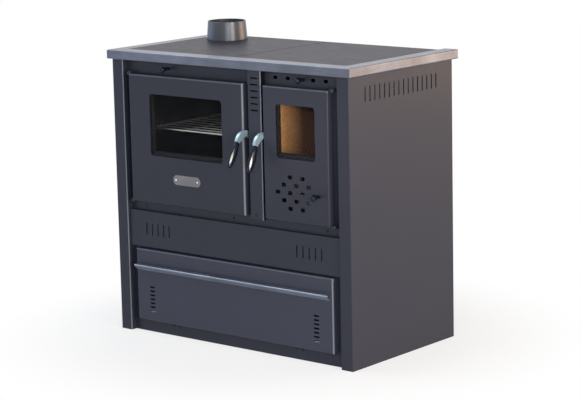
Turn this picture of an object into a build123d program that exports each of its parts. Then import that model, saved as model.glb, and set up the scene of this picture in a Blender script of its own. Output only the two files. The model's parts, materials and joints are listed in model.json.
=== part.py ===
"""Free-standing wood-burning cookstove: oven on the left, firebox on the right, log drawer below.

Frame: origin on the floor at the centre of the body's footprint, +Z up, +X to the viewer's right
when facing the doors, -Y towards the viewer. All sizes are in millimetres.
"""
from build123d import *
import math
import os


def grown(span, amount):
    """A span made longer by an amount at both ends."""
    return (span[0] - amount, span[1] + amount)


# ---------------------------------------------------------------- overall body
body_depth = 488.0
sheet = 1.5
carcass_sheet = 2.0
bend = 2.4
touch = 0.3
running_clearance = 0.05
swing_gap = 0.5

# ---------------------------------------------------------------- widths across the front, left to right
pilaster_width = 40.0
door_side_gap = 29.5
oven_door_width = 441.5
stile_gap_left = 13.5
stile_width = 48.5
stile_gap_right = 12.2
firebox_door_width = 232.3

door_span = oven_door_width + stile_gap_left + stile_width + stile_gap_right + firebox_door_width
body_width = door_span + 2 * (door_side_gap + pilaster_width)
front_y = -body_depth / 2
rear_y = body_depth / 2
side_x = body_width / 2
door_outer_x = door_span / 2
oven_door_x = (-door_outer_x, -door_outer_x + oven_door_width)
firebox_door_x = (door_outer_x - firebox_door_width, door_outer_x)
oven_door_centre = sum(oven_door_x) / 2
firebox_door_centre = sum(firebox_door_x) / 2
stile_x = oven_door_x[1] + stile_gap_left + stile_width / 2

# ---------------------------------------------------------------- heights up the front, from the floor
plinth_height = 35.0
drawer_gap_below = 4.0
drawer_height = 217.0
drawer_gap_above = 6.0
fascia_height = 110.0
strip_height = 30.5
door_height = 380.5
header_height = 40.0
trim_height = 27.0

drawer_bottom = plinth_height + drawer_gap_below
drawer_top = drawer_bottom + drawer_height
fascia_bottom = drawer_top + drawer_gap_above
fascia_top = fascia_bottom + fascia_height
door_bottom = fascia_top + strip_height
door_top = door_bottom + door_height
trim_bottom = door_top + header_height
top_height = trim_bottom + trim_height

# ---------------------------------------------------------------- worktop trim and hob
trim_side_overhang = 12.0
trim_front_overhang = 9.5
trim_depth = 510.0
trim_lip = 46.0
trim_return = 15.0
trim_bend = 3.2
hob_thickness = 6.0
hob_step = 0.5
hob_depth = 435.0
hob_seam = 1.2
hob_edge_radius = 1.0
top_frame_thickness = 2.5
top_frame_lap = 14.0

trim_x = side_x + trim_side_overhang
trim_front_y = front_y - trim_front_overhang
hob_top = top_height - hob_step
hob_bottom = hob_top - hob_thickness
hob_x = trim_x - trim_lip
hob_front_y = trim_front_y + trim_lip
hob_rear_y = hob_front_y + hob_depth
frame_bottom = hob_bottom - top_frame_thickness

# ---------------------------------------------------------------- side panels and back
rear_flange = 18.0
side_slot_count = 16
side_slot_pitch = 22.2
side_slot_width = 5.0
side_slot_height = 43.0
side_slot_drop = 53.2
side_slot_centre_y = -3.5
back_screw_rows = 4
screw_radius = 3.6
screw_head = 2.2

inner_x = side_x - sheet
side_slot_z = trim_bottom - side_slot_drop
opening_x = side_x - pilaster_width
flange_inner_x = opening_x - sheet
back_inner_y = rear_y - 2 * sheet

# ---------------------------------------------------------------- front planes, from the pilaster face
carcass_recess = 22.0
fascia_recess = 8.0
stile_recess = 1.5
drawer_recess = 2.5
door_proud = 5.5

carcass_y = front_y + carcass_recess
carcass_rear_y = carcass_y + carcass_sheet
plinth_y = carcass_y - sheet
fascia_y = front_y + fascia_recess
stile_y = front_y + stile_recess
drawer_y = front_y + drawer_recess
door_y = front_y - door_proud

# ---------------------------------------------------------------- fascia, stile and plinth details
fascia_slot_count = 5
fascia_slot_pitch = 22.4
fascia_slot_width = 4.5
fascia_slot_height = 36.0
fascia_slot_inset = 115.0
fascia_slot_rise = 56.0
stile_slot_count = 6
stile_slot_pitch = 18.3
stile_slot_width = 28.0
stile_slot_height = 4.4
stile_slot_drop = 23.0
stile_foot_drop = 7.5
stile_screw_rise = 14.0
plinth_screw_pitch = 24.0
plinth_screw_inset = 168.0
plinth_screw_drop = 5.5
plinth_lap = 14.0
strip_screw_inset = 30.0
strip_screw_rise = 13.0

fascia_slot_x = opening_x - fascia_slot_inset
fascia_slot_z = fascia_bottom + fascia_slot_rise
stile_top_slot_z = trim_bottom - stile_slot_drop
stile_foot = door_bottom - stile_foot_drop
plinth_screw_x = opening_x - plinth_screw_inset
plinth_screw_z = plinth_height - plinth_screw_drop
strip_screw_x = door_outer_x - strip_screw_inset
strip_screw_z = fascia_top + strip_screw_rise

# ---------------------------------------------------------------- doors
door_depth = 23.5
door_bend = 4.0
window_radius = 11.0
oven_window_side_margin = 80.0
oven_window_height = 183.0
oven_window_top_margin = 54.5
firebox_window_side_margin = 46.0
firebox_window_height = 152.0
firebox_window_top_margin = 49.2
gasket_width = 10.0
gasket_thickness = 1.5
glass_thickness = 4.0
retainer_width = 20.0
retainer_foot = 12.0
liner_sheet = 2.0
seal_width = 8.0
seal_offset = 10.0

door_rear_y = door_y + door_depth
liner_y = door_rear_y - liner_sheet
glass_y = door_y + sheet + gasket_thickness
retainer_y = glass_y + glass_thickness

# ---------------------------------------------------------------- hinges
hinge_offset_x = 7.0
hinge_offset_y = 13.0
hinge_pin_radius = 3.0
hinge_head_radius = 4.6
hinge_head_height = 3.2
hinge_ear_size = 14.0
hinge_ear_thickness = 4.0
hinge_bracket_thickness = 4.0

hinge_y = door_y + hinge_offset_y

# ---------------------------------------------------------------- lever handles
lever_rise = 237.5
lever_pivot_depth = 8.0
lever_thickness = 9.0
claw_thickness = 5.0
lever_boss_radius = 7.5
lever_pin_radius = 3.5
lever_gap_to_door = 0.8
bush_radius = 5.5
bush_length = 13.0
nut_width = 11.0
nut_thickness = 5.0
pin_end_proud = 1.5
pin_head_proud = 1.2
oven_lever_lift = 8.0
grip_length = 77.0
grip_lean = 21.9
grip_half_widths = (6.6, 9.2, 10.4, 8.8, 5.8)
grip_half_depths = (6.6, 9.6, 12.0, 9.8, 5.8)
grip_stations = (0.0, 0.2, 0.5, 0.8, 1.0)
grip_root = (37.7, -25.0)
elbow_outer = (27.0, 3.2)
elbow_inner = (18.0, -15.0)
elbow_shoulder = 1.5
inlay_proud = 0.6
inlay_half_width = 4.0
inlay_start = 19.0
inlay_end = 74.0
inlay_turn = 36.0

claw_behind = 1.5
claw_hook = 5.0
claw_drop = 4.2
claw_arm_top = 8.5
claw_arm_bottom = 14.0
claw_shoulder = 12.0
claw_slot_above = 1.2
claw_slot_below = 30.0
claw_slot_side = 2.5

lever_z = door_bottom + lever_rise
lever_pivot_y = door_y + lever_pivot_depth
claw_nose = carcass_rear_y - lever_pivot_y + claw_behind
claw_slot_half_width = claw_thickness / 2 + claw_slot_side
claw_slot_z = (lever_z - claw_slot_below, lever_z - claw_drop + claw_slot_above)

# ---------------------------------------------------------------- nameplate left bare
nameplate_width = 106.0
nameplate_height = 29.0
nameplate_thickness = 1.2
nameplate_rise = 79.0
rivet_spacing = 84.0
rivet_radius = 3.0
rivet_height = 1.4

nameplate_z = door_bottom + nameplate_rise

# ---------------------------------------------------------------- air controls and damper
knob_radius = 9.0
knob_reach = 28.0
knob_neck_radius = 5.6
stem_radius = 4.0
stem_clearance = 0.5
air_pitch_x = 44.7
air_pitch_z = 22.3
air_hole_width = 16.5
air_hole_height = 11.5
air_hole_corner = 3.5
air_rows = (2, 3, 4, 3, 2)
air_centre_rise = 83.2
air_travel = air_pitch_x / 2
air_knob_offset = 81.7
slider_sheet = 1.5
guide_width = 5.0
guide_lap = 4.0
header_rise = 21.5
header_pitch = 45.2
header_hole_width = 15.0
header_hole_height = 9.5
header_hole_corner = 2.5
header_knob_offset = 11.5
damper_offset = -83.75
damper_rise = 20.0
damper_travel = 60.0
damper_plate_width = 106.0
damper_plate_length = 82.0
damper_plate_y = 72.0
baffle_sheet = 2.0

air_centre_z = door_bottom + air_centre_rise
header_z = door_top + header_rise
damper_x = oven_door_centre + damper_offset
damper_z = door_top + damper_rise

# ---------------------------------------------------------------- flue collar
collar_side_inset = 84.5
collar_rear_inset = 86.0
collar_base_radius = 62.5
collar_rim_radius = 58.0
collar_bore_radius = 55.0
collar_height = 56.0
collar_flange_radius = 66.0
collar_fit = 0.5

collar_x = -hob_x + collar_side_inset
collar_y = hob_rear_y - collar_rear_inset

# ---------------------------------------------------------------- oven
oven_side_inset = 32.25
oven_foot_inset = 37.5
oven_head_inset = 33.0
oven_depth = 410.0
oven_sheet = 2.0
rack_rise = 180.0
rack_front_gap = 21.5
rack_depth = 350.0
rack_side_gap = 8.0
rack_frame_radius = 3.0
rack_corner = 14.0
rack_wire_radius = 2.0
rack_wire_count = 9
rack_bearer_radius = 2.5
runner_width = 14.0
runner_drop = 15.0
runner_front_gap = 16.0

oven_x = grown(oven_door_x, -oven_side_inset)
oven_z = (door_bottom + oven_foot_inset, door_top - oven_head_inset)
rack_z = oven_z[0] + rack_rise
rack_front_y = carcass_rear_y + rack_front_gap

# ---------------------------------------------------------------- firebox
firebox_inset_left = 26.3
firebox_inset_right = 30.0
firebox_foot_inset = 17.5
firebox_head_inset = 18.0
brick_thickness = 24.0
firebox_wall = 3.0
firebox_depth = 337.0
firebox_front_gap = 15.0
firebox_floor_rise = 69.0
brick_height = 243.0
baffle_brick_thickness = 22.0
baffle_brick_depth = 265.0
shell_below_opening = 1.0
shell_above_opening = 23.0
grate_width = 140.0
grate_length = 210.0
grate_thickness = 12.0
grate_rim = 12.0
grate_slot_count = 7
grate_forward = 25.0
retainer_bar_height = 98.0
retainer_bar_lip = 12.0
retainer_bar_slots = 5
ash_pan_width = 152.0
ash_pan_length = 320.0
ash_pan_height = 55.0
ash_pan_sheet = 1.2
ash_pan_front_gap = 20.0
ash_pan_grip = 12.0

firebox_x = (firebox_door_x[0] + firebox_inset_left, firebox_door_x[1] - firebox_inset_right)
firebox_opening_z = (door_bottom + firebox_foot_inset, door_top - firebox_head_inset)
firebox_floor_z = firebox_opening_z[0] + firebox_floor_rise
firebox_shell_z = (firebox_opening_z[0] - shell_below_opening, firebox_opening_z[1] + shell_above_opening)
ash_pan_front_y = carcass_rear_y + ash_pan_front_gap

# ---------------------------------------------------------------- heat casing round oven and firebox
casing_side_gap = 18.5
casing_rear_gap = 26.0
casing_drop = 2.5

casing_x = opening_x - casing_side_gap
casing_rear_y = back_inner_y - casing_rear_gap
casing_z = door_bottom - casing_drop

# ---------------------------------------------------------------- log drawer
drawer_side_gap = 28.8
drawer_front_depth = 18.5
drawer_box_inset = 22.7
drawer_box_rear_gap = 51.0
drawer_box_height = 176.0
drawer_box_sheet = 1.2
drawer_opening_margin = 8.0
base_z = 0.0
rail_height = 60.0
rail_width = 26.0
rail_rear_gap = 41.0
vent_count = 7
vent_pitch = 12.2
vent_width = 20.0
vent_height = 5.0
vent_inset = 60.7
vent_rise = 66.5
bar_end_inset = 5.7
bar_drop = 46.0
bar_height = 21.2
bar_reach = 21.3
bar_hem = 5.0
bar_bend = 2.4
bar_sheet = 1.5
vent_window_margin = 6.0

drawer_front_width = 2 * (opening_x - drawer_side_gap)
drawer_box_width = drawer_front_width - 2 * drawer_box_inset
drawer_box_y = (drawer_y + sheet, back_inner_y - drawer_box_rear_gap)
vent_x = drawer_front_width / 2 - vent_inset
vent_z = drawer_bottom + vent_rise
bar_half_width = drawer_front_width / 2 - bar_end_inset
bar_top_z = drawer_top - bar_drop


# ---------------------------------------------------------------- helpers
def block(x, y, z):
    """Box between a low and a high x, y and z."""
    spans = [high - low for low, high in (x, y, z)]
    middles = [(high + low) / 2 for low, high in (x, y, z)]
    return Pos(*middles) * Box(*spans)


def facing(x, y, z):
    """Plane at a point, looking along +Y, with sketch x along +X."""
    return Plane(origin=(x, y, z), x_dir=(1, 0, 0), z_dir=(0, 1, 0))


def rounded_prism(x, z, y, radius):
    """Rounded rectangle over x and z spans, carried along Y over the y span."""
    outline = RectangleRounded(x[1] - x[0], z[1] - z[0], radius)
    centre = facing((x[0] + x[1]) / 2, y[0], (z[0] + z[1]) / 2)
    return extrude(centre * outline, amount=y[1] - y[0])


def slot_prism(x, z, width, height, y):
    """Slot with round ends, centred on x and z, carried along Y over the y span."""
    turn = 0 if width > height else 90
    outline = SlotOverall(max(width, height), min(width, height), rotation=turn)
    return extrude(facing(x, y[0], z) * outline, amount=y[1] - y[0])


def spread(count, pitch, centre=0.0):
    """Evenly pitched positions about a centre."""
    return [centre + pitch * (index - (count - 1) / 2) for index in range(count)]


def rod_x(x, y, z, radius):
    """Round bar along X."""
    length = x[1] - x[0]
    return Pos((x[0] + x[1]) / 2, y, z) * Rot(0, 90, 0) * Cylinder(radius, length)


def rod_y(x, y, z, radius):
    """Round bar along Y."""
    length = y[1] - y[0]
    return Pos(x, (y[0] + y[1]) / 2, z) * Rot(90, 0, 0) * Cylinder(radius, length)


def rod_z(x, y, z, radius):
    """Round bar along Z."""
    return Pos(x, y, (z[0] + z[1]) / 2) * Cylinder(radius, z[1] - z[0])


def cover(x, y, z, thickness, bend_radius):
    """Folded sheet cover: a front face and four turned-back edges, open at the rear."""
    shell = block(x, y, z)
    shell = fillet(shell.faces().sort_by(Axis.Y)[0].edges(), bend_radius)
    inside = block(
        (x[0] + thickness, x[1] - thickness),
        (y[0] + thickness, y[1] + thickness),
        (z[0] + thickness, z[1] - thickness),
    )
    inside = fillet(inside.faces().sort_by(Axis.Y)[0].edges(), bend_radius - thickness)
    return shell - inside


def rounded_hole(x, z, width, height, corner, y):
    """Rounded rectangular cutter centred on x and z."""
    return rounded_prism((x - width / 2, x + width / 2), (z - height / 2, z + height / 2), y, corner)


def ring(x, y, z, inner_x, inner_z):
    """Rectangular frame standing in the XZ plane."""
    gap = (y[0] - 1, y[1] + 1)
    return block(x, y, z) - block(inner_x, gap, inner_z)


def tray(x, y, z, thickness):
    """Open-topped sheet box."""
    inside = block(
        (x[0] + thickness, x[1] - thickness),
        (y[0] + thickness, y[1] - thickness),
        (z[0] + thickness, z[1] + 1),
    )
    return block(x, y, z) - inside


def screw(x, y, z, outwards=-1):
    """Pan-head screw head and a short shank, its head standing out along -Y or +Y."""
    head = (y - screw_head, y) if outwards < 0 else (y, y + screw_head)
    body = rod_y(x, head, z, screw_radius)
    rim = body.faces().sort_by(Axis.Y)[0 if outwards < 0 else -1].edges()
    return fillet(rim, screw_head * 0.6)


# ---------------------------------------------------------------- outer body
def side_panel(side):
    """Side sheet: front pilaster, its return to the carcass and the rear flange; side is -1 or 1."""
    half = sheet / 2
    path = FilletPolyline(
        (side * (opening_x + half - sheet), carcass_y - touch),
        (side * (opening_x + half - sheet), front_y + half),
        (side * (side_x - half), front_y + half),
        (side * (side_x - half), rear_y - half),
        (side * (side_x - rear_flange), rear_y - half),
        radius=bend - half,
    )
    panel = extrude(trace(path, sheet), amount=trim_bottom)
    slots = []
    for y in spread(side_slot_count, side_slot_pitch, side_slot_centre_y):
        outline = SlotOverall(side_slot_height, side_slot_width, rotation=90)
        wall = Plane(origin=(side * (side_x + 1), y, side_slot_z), x_dir=(0, 1, 0), z_dir=(1, 0, 0))
        slots.append(extrude(wall * outline, amount=-side * (sheet + 2)))
    return panel - slots


def back_panel():
    """Plain rear sheet inside the side panels' flanges."""
    half = inner_x - bend
    return block((-half, half), (back_inner_y, back_inner_y + sheet), (0, trim_bottom))


def back_screws():
    """Screws through the rear flanges into the back panel."""
    heads = []
    for side in (-1, 1):
        for row in range(back_screw_rows):
            z = trim_bottom * (row + 0.5) / back_screw_rows
            heads.append(screw(side * (side_x - rear_flange / 2), rear_y, z, outwards=1))
    return heads


def base_plate():
    """Floor sheet under the log drawer."""
    return block((-inner_x, inner_x), (carcass_rear_y, back_inner_y), (base_z, base_z + carcass_sheet))


def plinth():
    """Front sheet under the drawer, lapped over the carcass front's lower edge."""
    face = block((-flange_inner_x, flange_inner_x), (plinth_y, carcass_y), (0, plinth_height))
    upright = face.edges().filter_by(Axis.Z).filter_by(lambda e: e.center().Y < carcass_y - sheet / 2)
    return fillet(upright, sheet / 2)


def plinth_screws():
    """Two pairs of screws near the plinth's top edge."""
    heads = []
    for side in (-1, 1):
        for x in spread(2, plinth_screw_pitch, side * plinth_screw_x):
            heads.append(screw(x, plinth_y, plinth_screw_z))
    return heads


def fascia_panel():
    """Vented sheet between the doors and the drawer, edges turned back to the carcass."""
    span = (-flange_inner_x, flange_inner_x)
    panel = cover(span, (fascia_y, carcass_y), (fascia_bottom, fascia_top), sheet, bend)
    cut = (fascia_y - 1, fascia_y + sheet + 1)
    slots = []
    for side in (-1, 1):
        for x in spread(fascia_slot_count, fascia_slot_pitch, side * fascia_slot_x):
            slots.append(slot_prism(x, fascia_slot_z, fascia_slot_width, fascia_slot_height, cut))
    return panel - slots


def carcass_front():
    """Recessed front sheet that carries the doors, the oven box and the firebox."""
    deep = (carcass_y - 1, carcass_rear_y + 1)
    plate_z = (plinth_height - plinth_lap, frame_bottom)
    plate = block((-inner_x, inner_x), (carcass_y, carcass_rear_y), plate_z)
    plate -= block(oven_x, deep, oven_z)
    plate -= block(firebox_x, deep, firebox_opening_z)
    drawer_half = drawer_box_width / 2 + drawer_opening_margin
    drawer_gap = (drawer_bottom + drawer_opening_margin, drawer_top - drawer_opening_margin)
    plate -= block((-drawer_half, drawer_half), deep, drawer_gap)
    cuts = []
    for index, x in enumerate(spread(5, header_pitch, firebox_door_centre)):
        width = header_hole_width if index != 2 else 2 * (header_knob_offset + stem_radius + stem_clearance)
        cuts.append(rounded_hole(x, header_z, width, header_hole_height, header_hole_corner, deep))
    cuts.append(rod_y(damper_x, deep, damper_z, stem_radius + stem_clearance))
    for x, lift in ((oven_lever_x, oven_lever_lift), (firebox_lever_x, 0.0)):
        span = (x - claw_slot_half_width, x + claw_slot_half_width)
        cuts.append(rounded_prism(span, claw_slot_z, deep, 2.0))
    notch = (trim_bottom - touch, frame_bottom + 1)
    for side in (-1, 1):
        near = side * (trim_x - trim_return - touch)
        far = side * (inner_x + 1)
        cuts.append(block((min(near, far), max(near, far)), deep, notch))
    return plate - cuts + header_guides()


def centre_stile():
    """Raised channel between the doors with six vent slots."""
    span = (stile_x - stile_width / 2, stile_x + stile_width / 2)
    channel = block(span, (stile_y, carcass_y), (stile_foot, trim_bottom))
    front_edges = channel.faces().sort_by(Axis.Y)[0].edges().filter_by(Axis.Z)
    channel = fillet(front_edges, bend)
    inside = block(grown(span, -sheet), (stile_y + sheet, carcass_y + 1), (stile_foot - 1, trim_bottom + 1))
    channel -= inside
    cut = (stile_y - 1, stile_y + sheet + 1)
    slots = []
    for index in range(stile_slot_count):
        z = stile_top_slot_z - index * stile_slot_pitch
        slots.append(slot_prism(stile_x, z, stile_slot_width, stile_slot_height, cut))
    return channel - slots


def strip_screws():
    """Three screws in the recessed strip under the doors."""
    return [screw(x, carcass_y, strip_screw_z) for x in (-strip_screw_x, 0.0, strip_screw_x)]


def stile_screw():
    """Screw at the foot of the centre stile."""
    return screw(stile_x, stile_y, stile_foot + stile_screw_rise)


# ---------------------------------------------------------------- worktop
def trim_profile(plane):
    """Cross-section of the trim: lip, rounded outer face and bottom return; x runs inwards."""
    half = sheet / 2
    path = FilletPolyline(
        (trim_lip, top_height - half),
        (half, top_height - half),
        (half, trim_bottom + half),
        (trim_return, trim_bottom + half),
        radius=trim_bend - half,
    )
    return plane * trace(path, sheet)


def mitre(side, keep_front):
    """Wedge on one side of the 45 degree line through a front corner of the trim."""
    reach = trim_lip + 4
    corner = (side * trim_x, trim_front_y)
    tip = (side * (trim_x - reach), trim_front_y + reach)
    far = (side * trim_x, trim_front_y + reach)
    outer = (side * (trim_x + 4), trim_front_y - 4)
    if keep_front:
        far = (side * (trim_x + 4), trim_front_y + reach)
    else:
        far = (side * (trim_x - reach), trim_front_y - 4)
    wedge = make_face(Polyline(outer, corner, tip, far, close=True))
    return extrude(Pos(0, 0, trim_bottom - 5) * wedge, amount=trim_height + 10)


def trim_front():
    """Front rail of the worktop trim, mitred at both ends."""
    plane = Plane(origin=(-trim_x, trim_front_y, 0), x_dir=(0, 1, 0), z_dir=(1, 0, 0))
    rail = extrude(trim_profile(plane), amount=2 * trim_x)
    return rail - mitre(-1, True) - mitre(1, True)


def trim_side(side):
    """Side rail of the worktop trim; side is -1 or 1."""
    plane = Plane(origin=(side * trim_x, trim_front_y, 0), x_dir=(-side, 0, 0), z_dir=(0, side, 0))
    rail = extrude(trim_profile(plane), amount=side * trim_depth)
    return rail - mitre(side, False)


def hob_plate(side):
    """One half of the steel hob; the left half has the flue hole."""
    inner = side * hob_seam / 2
    outer = side * (hob_x - touch / 2)
    span = (min(inner, outer), max(inner, outer))
    plate = block(span, (hob_front_y + touch / 2, hob_rear_y), (hob_bottom, hob_top))
    plate = chamfer(plate.faces().sort_by(Axis.Z)[-1].edges(), hob_edge_radius)
    if side < 0:
        plate -= rod_z(collar_x, collar_y, (hob_bottom - 1, hob_top + 1), collar_base_radius + collar_fit)
    return plate


def top_frame():
    """Flat frame under the hob's edge that carries both plates."""
    level = (frame_bottom, hob_bottom)
    outer = block((-inner_x, inner_x), (front_y + trim_return, hob_rear_y), level)
    gap_x = (-hob_x + top_frame_lap, hob_x - top_frame_lap)
    gap_y = (hob_front_y + top_frame_lap, hob_rear_y - top_frame_lap)
    return outer - block(gap_x, gap_y, grown(level, 1))


def flue_collar():
    """Tapered cast spigot for the flue pipe, with a cylindrical bore."""
    foot = frame_bottom + touch
    flange = rod_z(collar_x, collar_y, (foot, hob_bottom), collar_flange_radius)
    throat = rod_z(collar_x, collar_y, (foot, top_height), collar_base_radius)
    base = Pos(collar_x, collar_y, top_height + collar_height / 2)
    spigot = base * Cone(collar_base_radius, collar_rim_radius, collar_height)
    collar = flange + throat + spigot
    collar -= rod_z(collar_x, collar_y, (foot - 1, top_height + collar_height + 1), collar_bore_radius)
    rim = collar.faces().sort_by(Axis.Z)[-1].edges()
    return fillet(rim, 1.2)


# ---------------------------------------------------------------- doors
def window_spans(door_x, side_margin, height, top_margin):
    """X and Z spans of a door window, set in from the door's sides and top."""
    top = door_top - top_margin
    return grown(door_x, -side_margin), (top - height, top)


oven_window = window_spans(
    oven_door_x, oven_window_side_margin, oven_window_height, oven_window_top_margin
)
firebox_window = window_spans(
    firebox_door_x, firebox_window_side_margin, firebox_window_height, firebox_window_top_margin
)
oven_lever_x = oven_door_x[1] + lever_gap_to_door + lever_thickness / 2
firebox_lever_x = firebox_door_x[0] - lever_gap_to_door - lever_thickness / 2


def air_positions():
    """Centres of the rosette's holes; the middle row leaves its last place to the slider's knob."""
    places = []
    for row, count in enumerate(air_rows):
        z = air_centre_z + air_pitch_z * ((len(air_rows) - 1) / 2 - row)
        row_places = spread(count, air_pitch_x, firebox_door_centre)
        if row == 2:
            row_places = row_places[:-1]
        places.extend((x, z) for x in row_places)
    return places


def air_hole(x, z, y):
    """One hole of the rosette."""
    return rounded_hole(x, z, air_hole_width, air_hole_height, air_hole_corner, y)


def door_cover(door_x, window, lever_side_x):
    """Folded door cover with its window and the hole for the lever's pin."""
    shell = cover(door_x, (door_y, door_rear_y), (door_bottom, door_top), sheet, door_bend)
    shell -= rounded_prism(window[0], window[1], (door_y - 1, door_y + sheet + 1), window_radius)
    hole = (lever_side_x - sheet - 1, lever_side_x + sheet + 1)
    shell -= rod_x(hole, lever_pivot_y, lever_z, lever_pin_radius + touch)
    inwards = -1 if lever_side_x < stile_x else 1
    return shell + lever_bush(inwards) + hinge_ears(inwards)


def oven_door_cover():
    """Oven door cover."""
    return door_cover(oven_door_x, oven_window, oven_door_x[1])


def firebox_door_cover():
    """Firebox door cover with the air rosette and the slider's slot."""
    shell = door_cover(firebox_door_x, firebox_window, firebox_door_x[0])
    cut = (door_y - 1, door_y + sheet + 1)
    holes = [air_hole(x, z, cut) for x, z in air_positions()]
    knob_x = firebox_door_centre + air_knob_offset
    slot_width = air_travel + 2 * (stem_radius + stem_clearance)
    slot_height = 2 * (stem_radius + stem_clearance)
    holes.append(slot_prism(knob_x - air_travel / 2, air_centre_z, slot_width, slot_height, cut))
    return shell - holes + air_guides()


def glass_gasket(window):
    """Flat woven gasket between the cover and the glass."""
    y = (door_y + sheet, glass_y)
    return ring(grown(window[0], gasket_width), y, grown(window[1], gasket_width), window[0], window[1])


def glass_pane(window):
    """Ceramic glass pane behind a door window."""
    y = (glass_y, retainer_y)
    return block(grown(window[0], gasket_width), y, grown(window[1], gasket_width))


def glass_retainer(window):
    """Sheet frame that holds the glass, with a sill standing above the window's lower edge."""
    low, high = window[1]
    outer_x = grown(window[0], retainer_width)
    outer_z = grown(window[1], retainer_width)
    inner_z = (low + retainer_foot, high)
    flange = ring(outer_x, (retainer_y, retainer_y + sheet), outer_z, window[0], inner_z)
    jamb_x = grown(window[0], sheet)
    jamb = ring(jamb_x, (retainer_y, liner_y), grown(inner_z, sheet), window[0], inner_z)
    return flange + jamb


def door_liner(door_x, window, air_gap=None):
    """Flat rear sheet of a door, open behind the window and, on the firebox, behind the rosette."""
    y = (liner_y, door_rear_y)
    low, high = window[1]
    inner_z = (low + retainer_foot, high)
    plate = ring(grown(door_x, -sheet), y, (door_bottom + sheet, door_top - sheet), window[0], inner_z)
    if air_gap:
        plate -= rounded_prism(air_gap[0], air_gap[1], grown(y, 1), window_radius)
    return plate


def door_seal(opening_x_span, opening_z_span):
    """Rope seal on the back of a door, round the opening that it closes."""
    y = (door_rear_y, carcass_y - touch)
    inner_x_span = grown(opening_x_span, seal_offset - seal_width / 2)
    inner_z_span = grown(opening_z_span, seal_offset - seal_width / 2)
    outer = rounded_prism(grown(inner_x_span, seal_width), grown(inner_z_span, seal_width), y, 12)
    return outer - rounded_prism(inner_x_span, inner_z_span, grown(y, 1), 6)


def hinge_ears(side):
    """Drilled ears on a door's hinge side, at its top and bottom edges."""
    edge = side * door_outer_x
    span = (min(edge, edge + side * hinge_ear_size), max(edge, edge + side * hinge_ear_size))
    depth = grown((hinge_y, hinge_y), hinge_ear_size / 2)
    pin_x = side * (door_outer_x + hinge_offset_x)
    ears = []
    for low in (door_bottom, door_top - hinge_ear_thickness):
        level = (low, low + hinge_ear_thickness)
        ear = block(span, depth, level)
        corner = [e for e in ear.edges().filter_by(Axis.Z) if abs(e.center().X) > door_outer_x + 1]
        ear = fillet(corner, 4)
        ears.append(ear - rod_z(pin_x, hinge_y, grown(level, 1), hinge_pin_radius + running_clearance))
    return ears


def hinge_brackets(side):
    """Carcass brackets above and below a door, each holding one hinge pin."""
    edge = side * door_outer_x
    span = (min(edge, edge + side * hinge_ear_size), max(edge, edge + side * hinge_ear_size))
    depth = (hinge_y - hinge_ear_size / 2, carcass_y)
    pin_x = side * (door_outer_x + hinge_offset_x)
    lows = (door_bottom - swing_gap - hinge_bracket_thickness, door_top + swing_gap)
    brackets = []
    for low in lows:
        level = (low, low + hinge_bracket_thickness)
        bracket = block(span, depth, level)
        corner = [e for e in bracket.edges().filter_by(Axis.Z) if e.center().Y < hinge_y]
        bracket = fillet(corner, 4)
        brackets.append(bracket - rod_z(pin_x, hinge_y, grown(level, 1), hinge_pin_radius))
    return brackets


def hinge_pins(side):
    """Headed hinge pins: the upper one dropped in from above, the lower one from below."""
    pin_x = side * (door_outer_x + hinge_offset_x)
    upper_seat = door_top + swing_gap + hinge_bracket_thickness
    lower_seat = door_bottom - swing_gap - hinge_bracket_thickness
    upper = rod_z(pin_x, hinge_y, (door_top - hinge_ear_thickness, upper_seat), hinge_pin_radius)
    upper_head = rod_z(pin_x, hinge_y, (upper_seat, upper_seat + hinge_head_height), hinge_head_radius)
    upper_head = fillet(upper_head.faces().sort_by(Axis.Z)[-1].edges(), hinge_head_height * 0.6)
    lower = rod_z(pin_x, hinge_y, (lower_seat, door_bottom + hinge_ear_thickness), hinge_pin_radius)
    lower_head = rod_z(pin_x, hinge_y, (lower_seat - hinge_head_height, lower_seat), hinge_head_radius)
    lower_head = fillet(lower_head.faces().sort_by(Axis.Z)[0].edges(), hinge_head_height * 0.6)
    return [upper + upper_head, lower + lower_head]


def nameplate():
    """Bare obround nameplate under the oven window."""
    y = (door_y - nameplate_thickness, door_y)
    plate = slot_prism(oven_door_centre, nameplate_z, nameplate_width, nameplate_height, y)
    return fillet(plate.faces().sort_by(Axis.Y)[0].edges(), 0.5)


def nameplate_rivets():
    """Two dome rivets that hold the nameplate."""
    rivets = []
    for x in spread(2, rivet_spacing, oven_door_centre):
        y = (door_y - nameplate_thickness - rivet_height, door_y - nameplate_thickness)
        rivet = rod_y(x, y, nameplate_z, rivet_radius)
        rivets.append(fillet(rivet.faces().sort_by(Axis.Y)[0].edges(), rivet_height * 0.8))
    return rivets


# ---------------------------------------------------------------- lever handles
def lever_plane(x, lift):
    """Plane across a lever: sketch x runs to the viewer, sketch y up, turned by the rest lift."""
    turn = math.radians(lift)
    outwards = (0, -math.cos(turn), math.sin(turn))
    return Plane(origin=(x, lever_pivot_y, lever_z), x_dir=outwards, z_dir=(-1, 0, 0))


lean = math.radians(grip_lean)
grip_axis = (math.sin(lean), -math.cos(lean))


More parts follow.
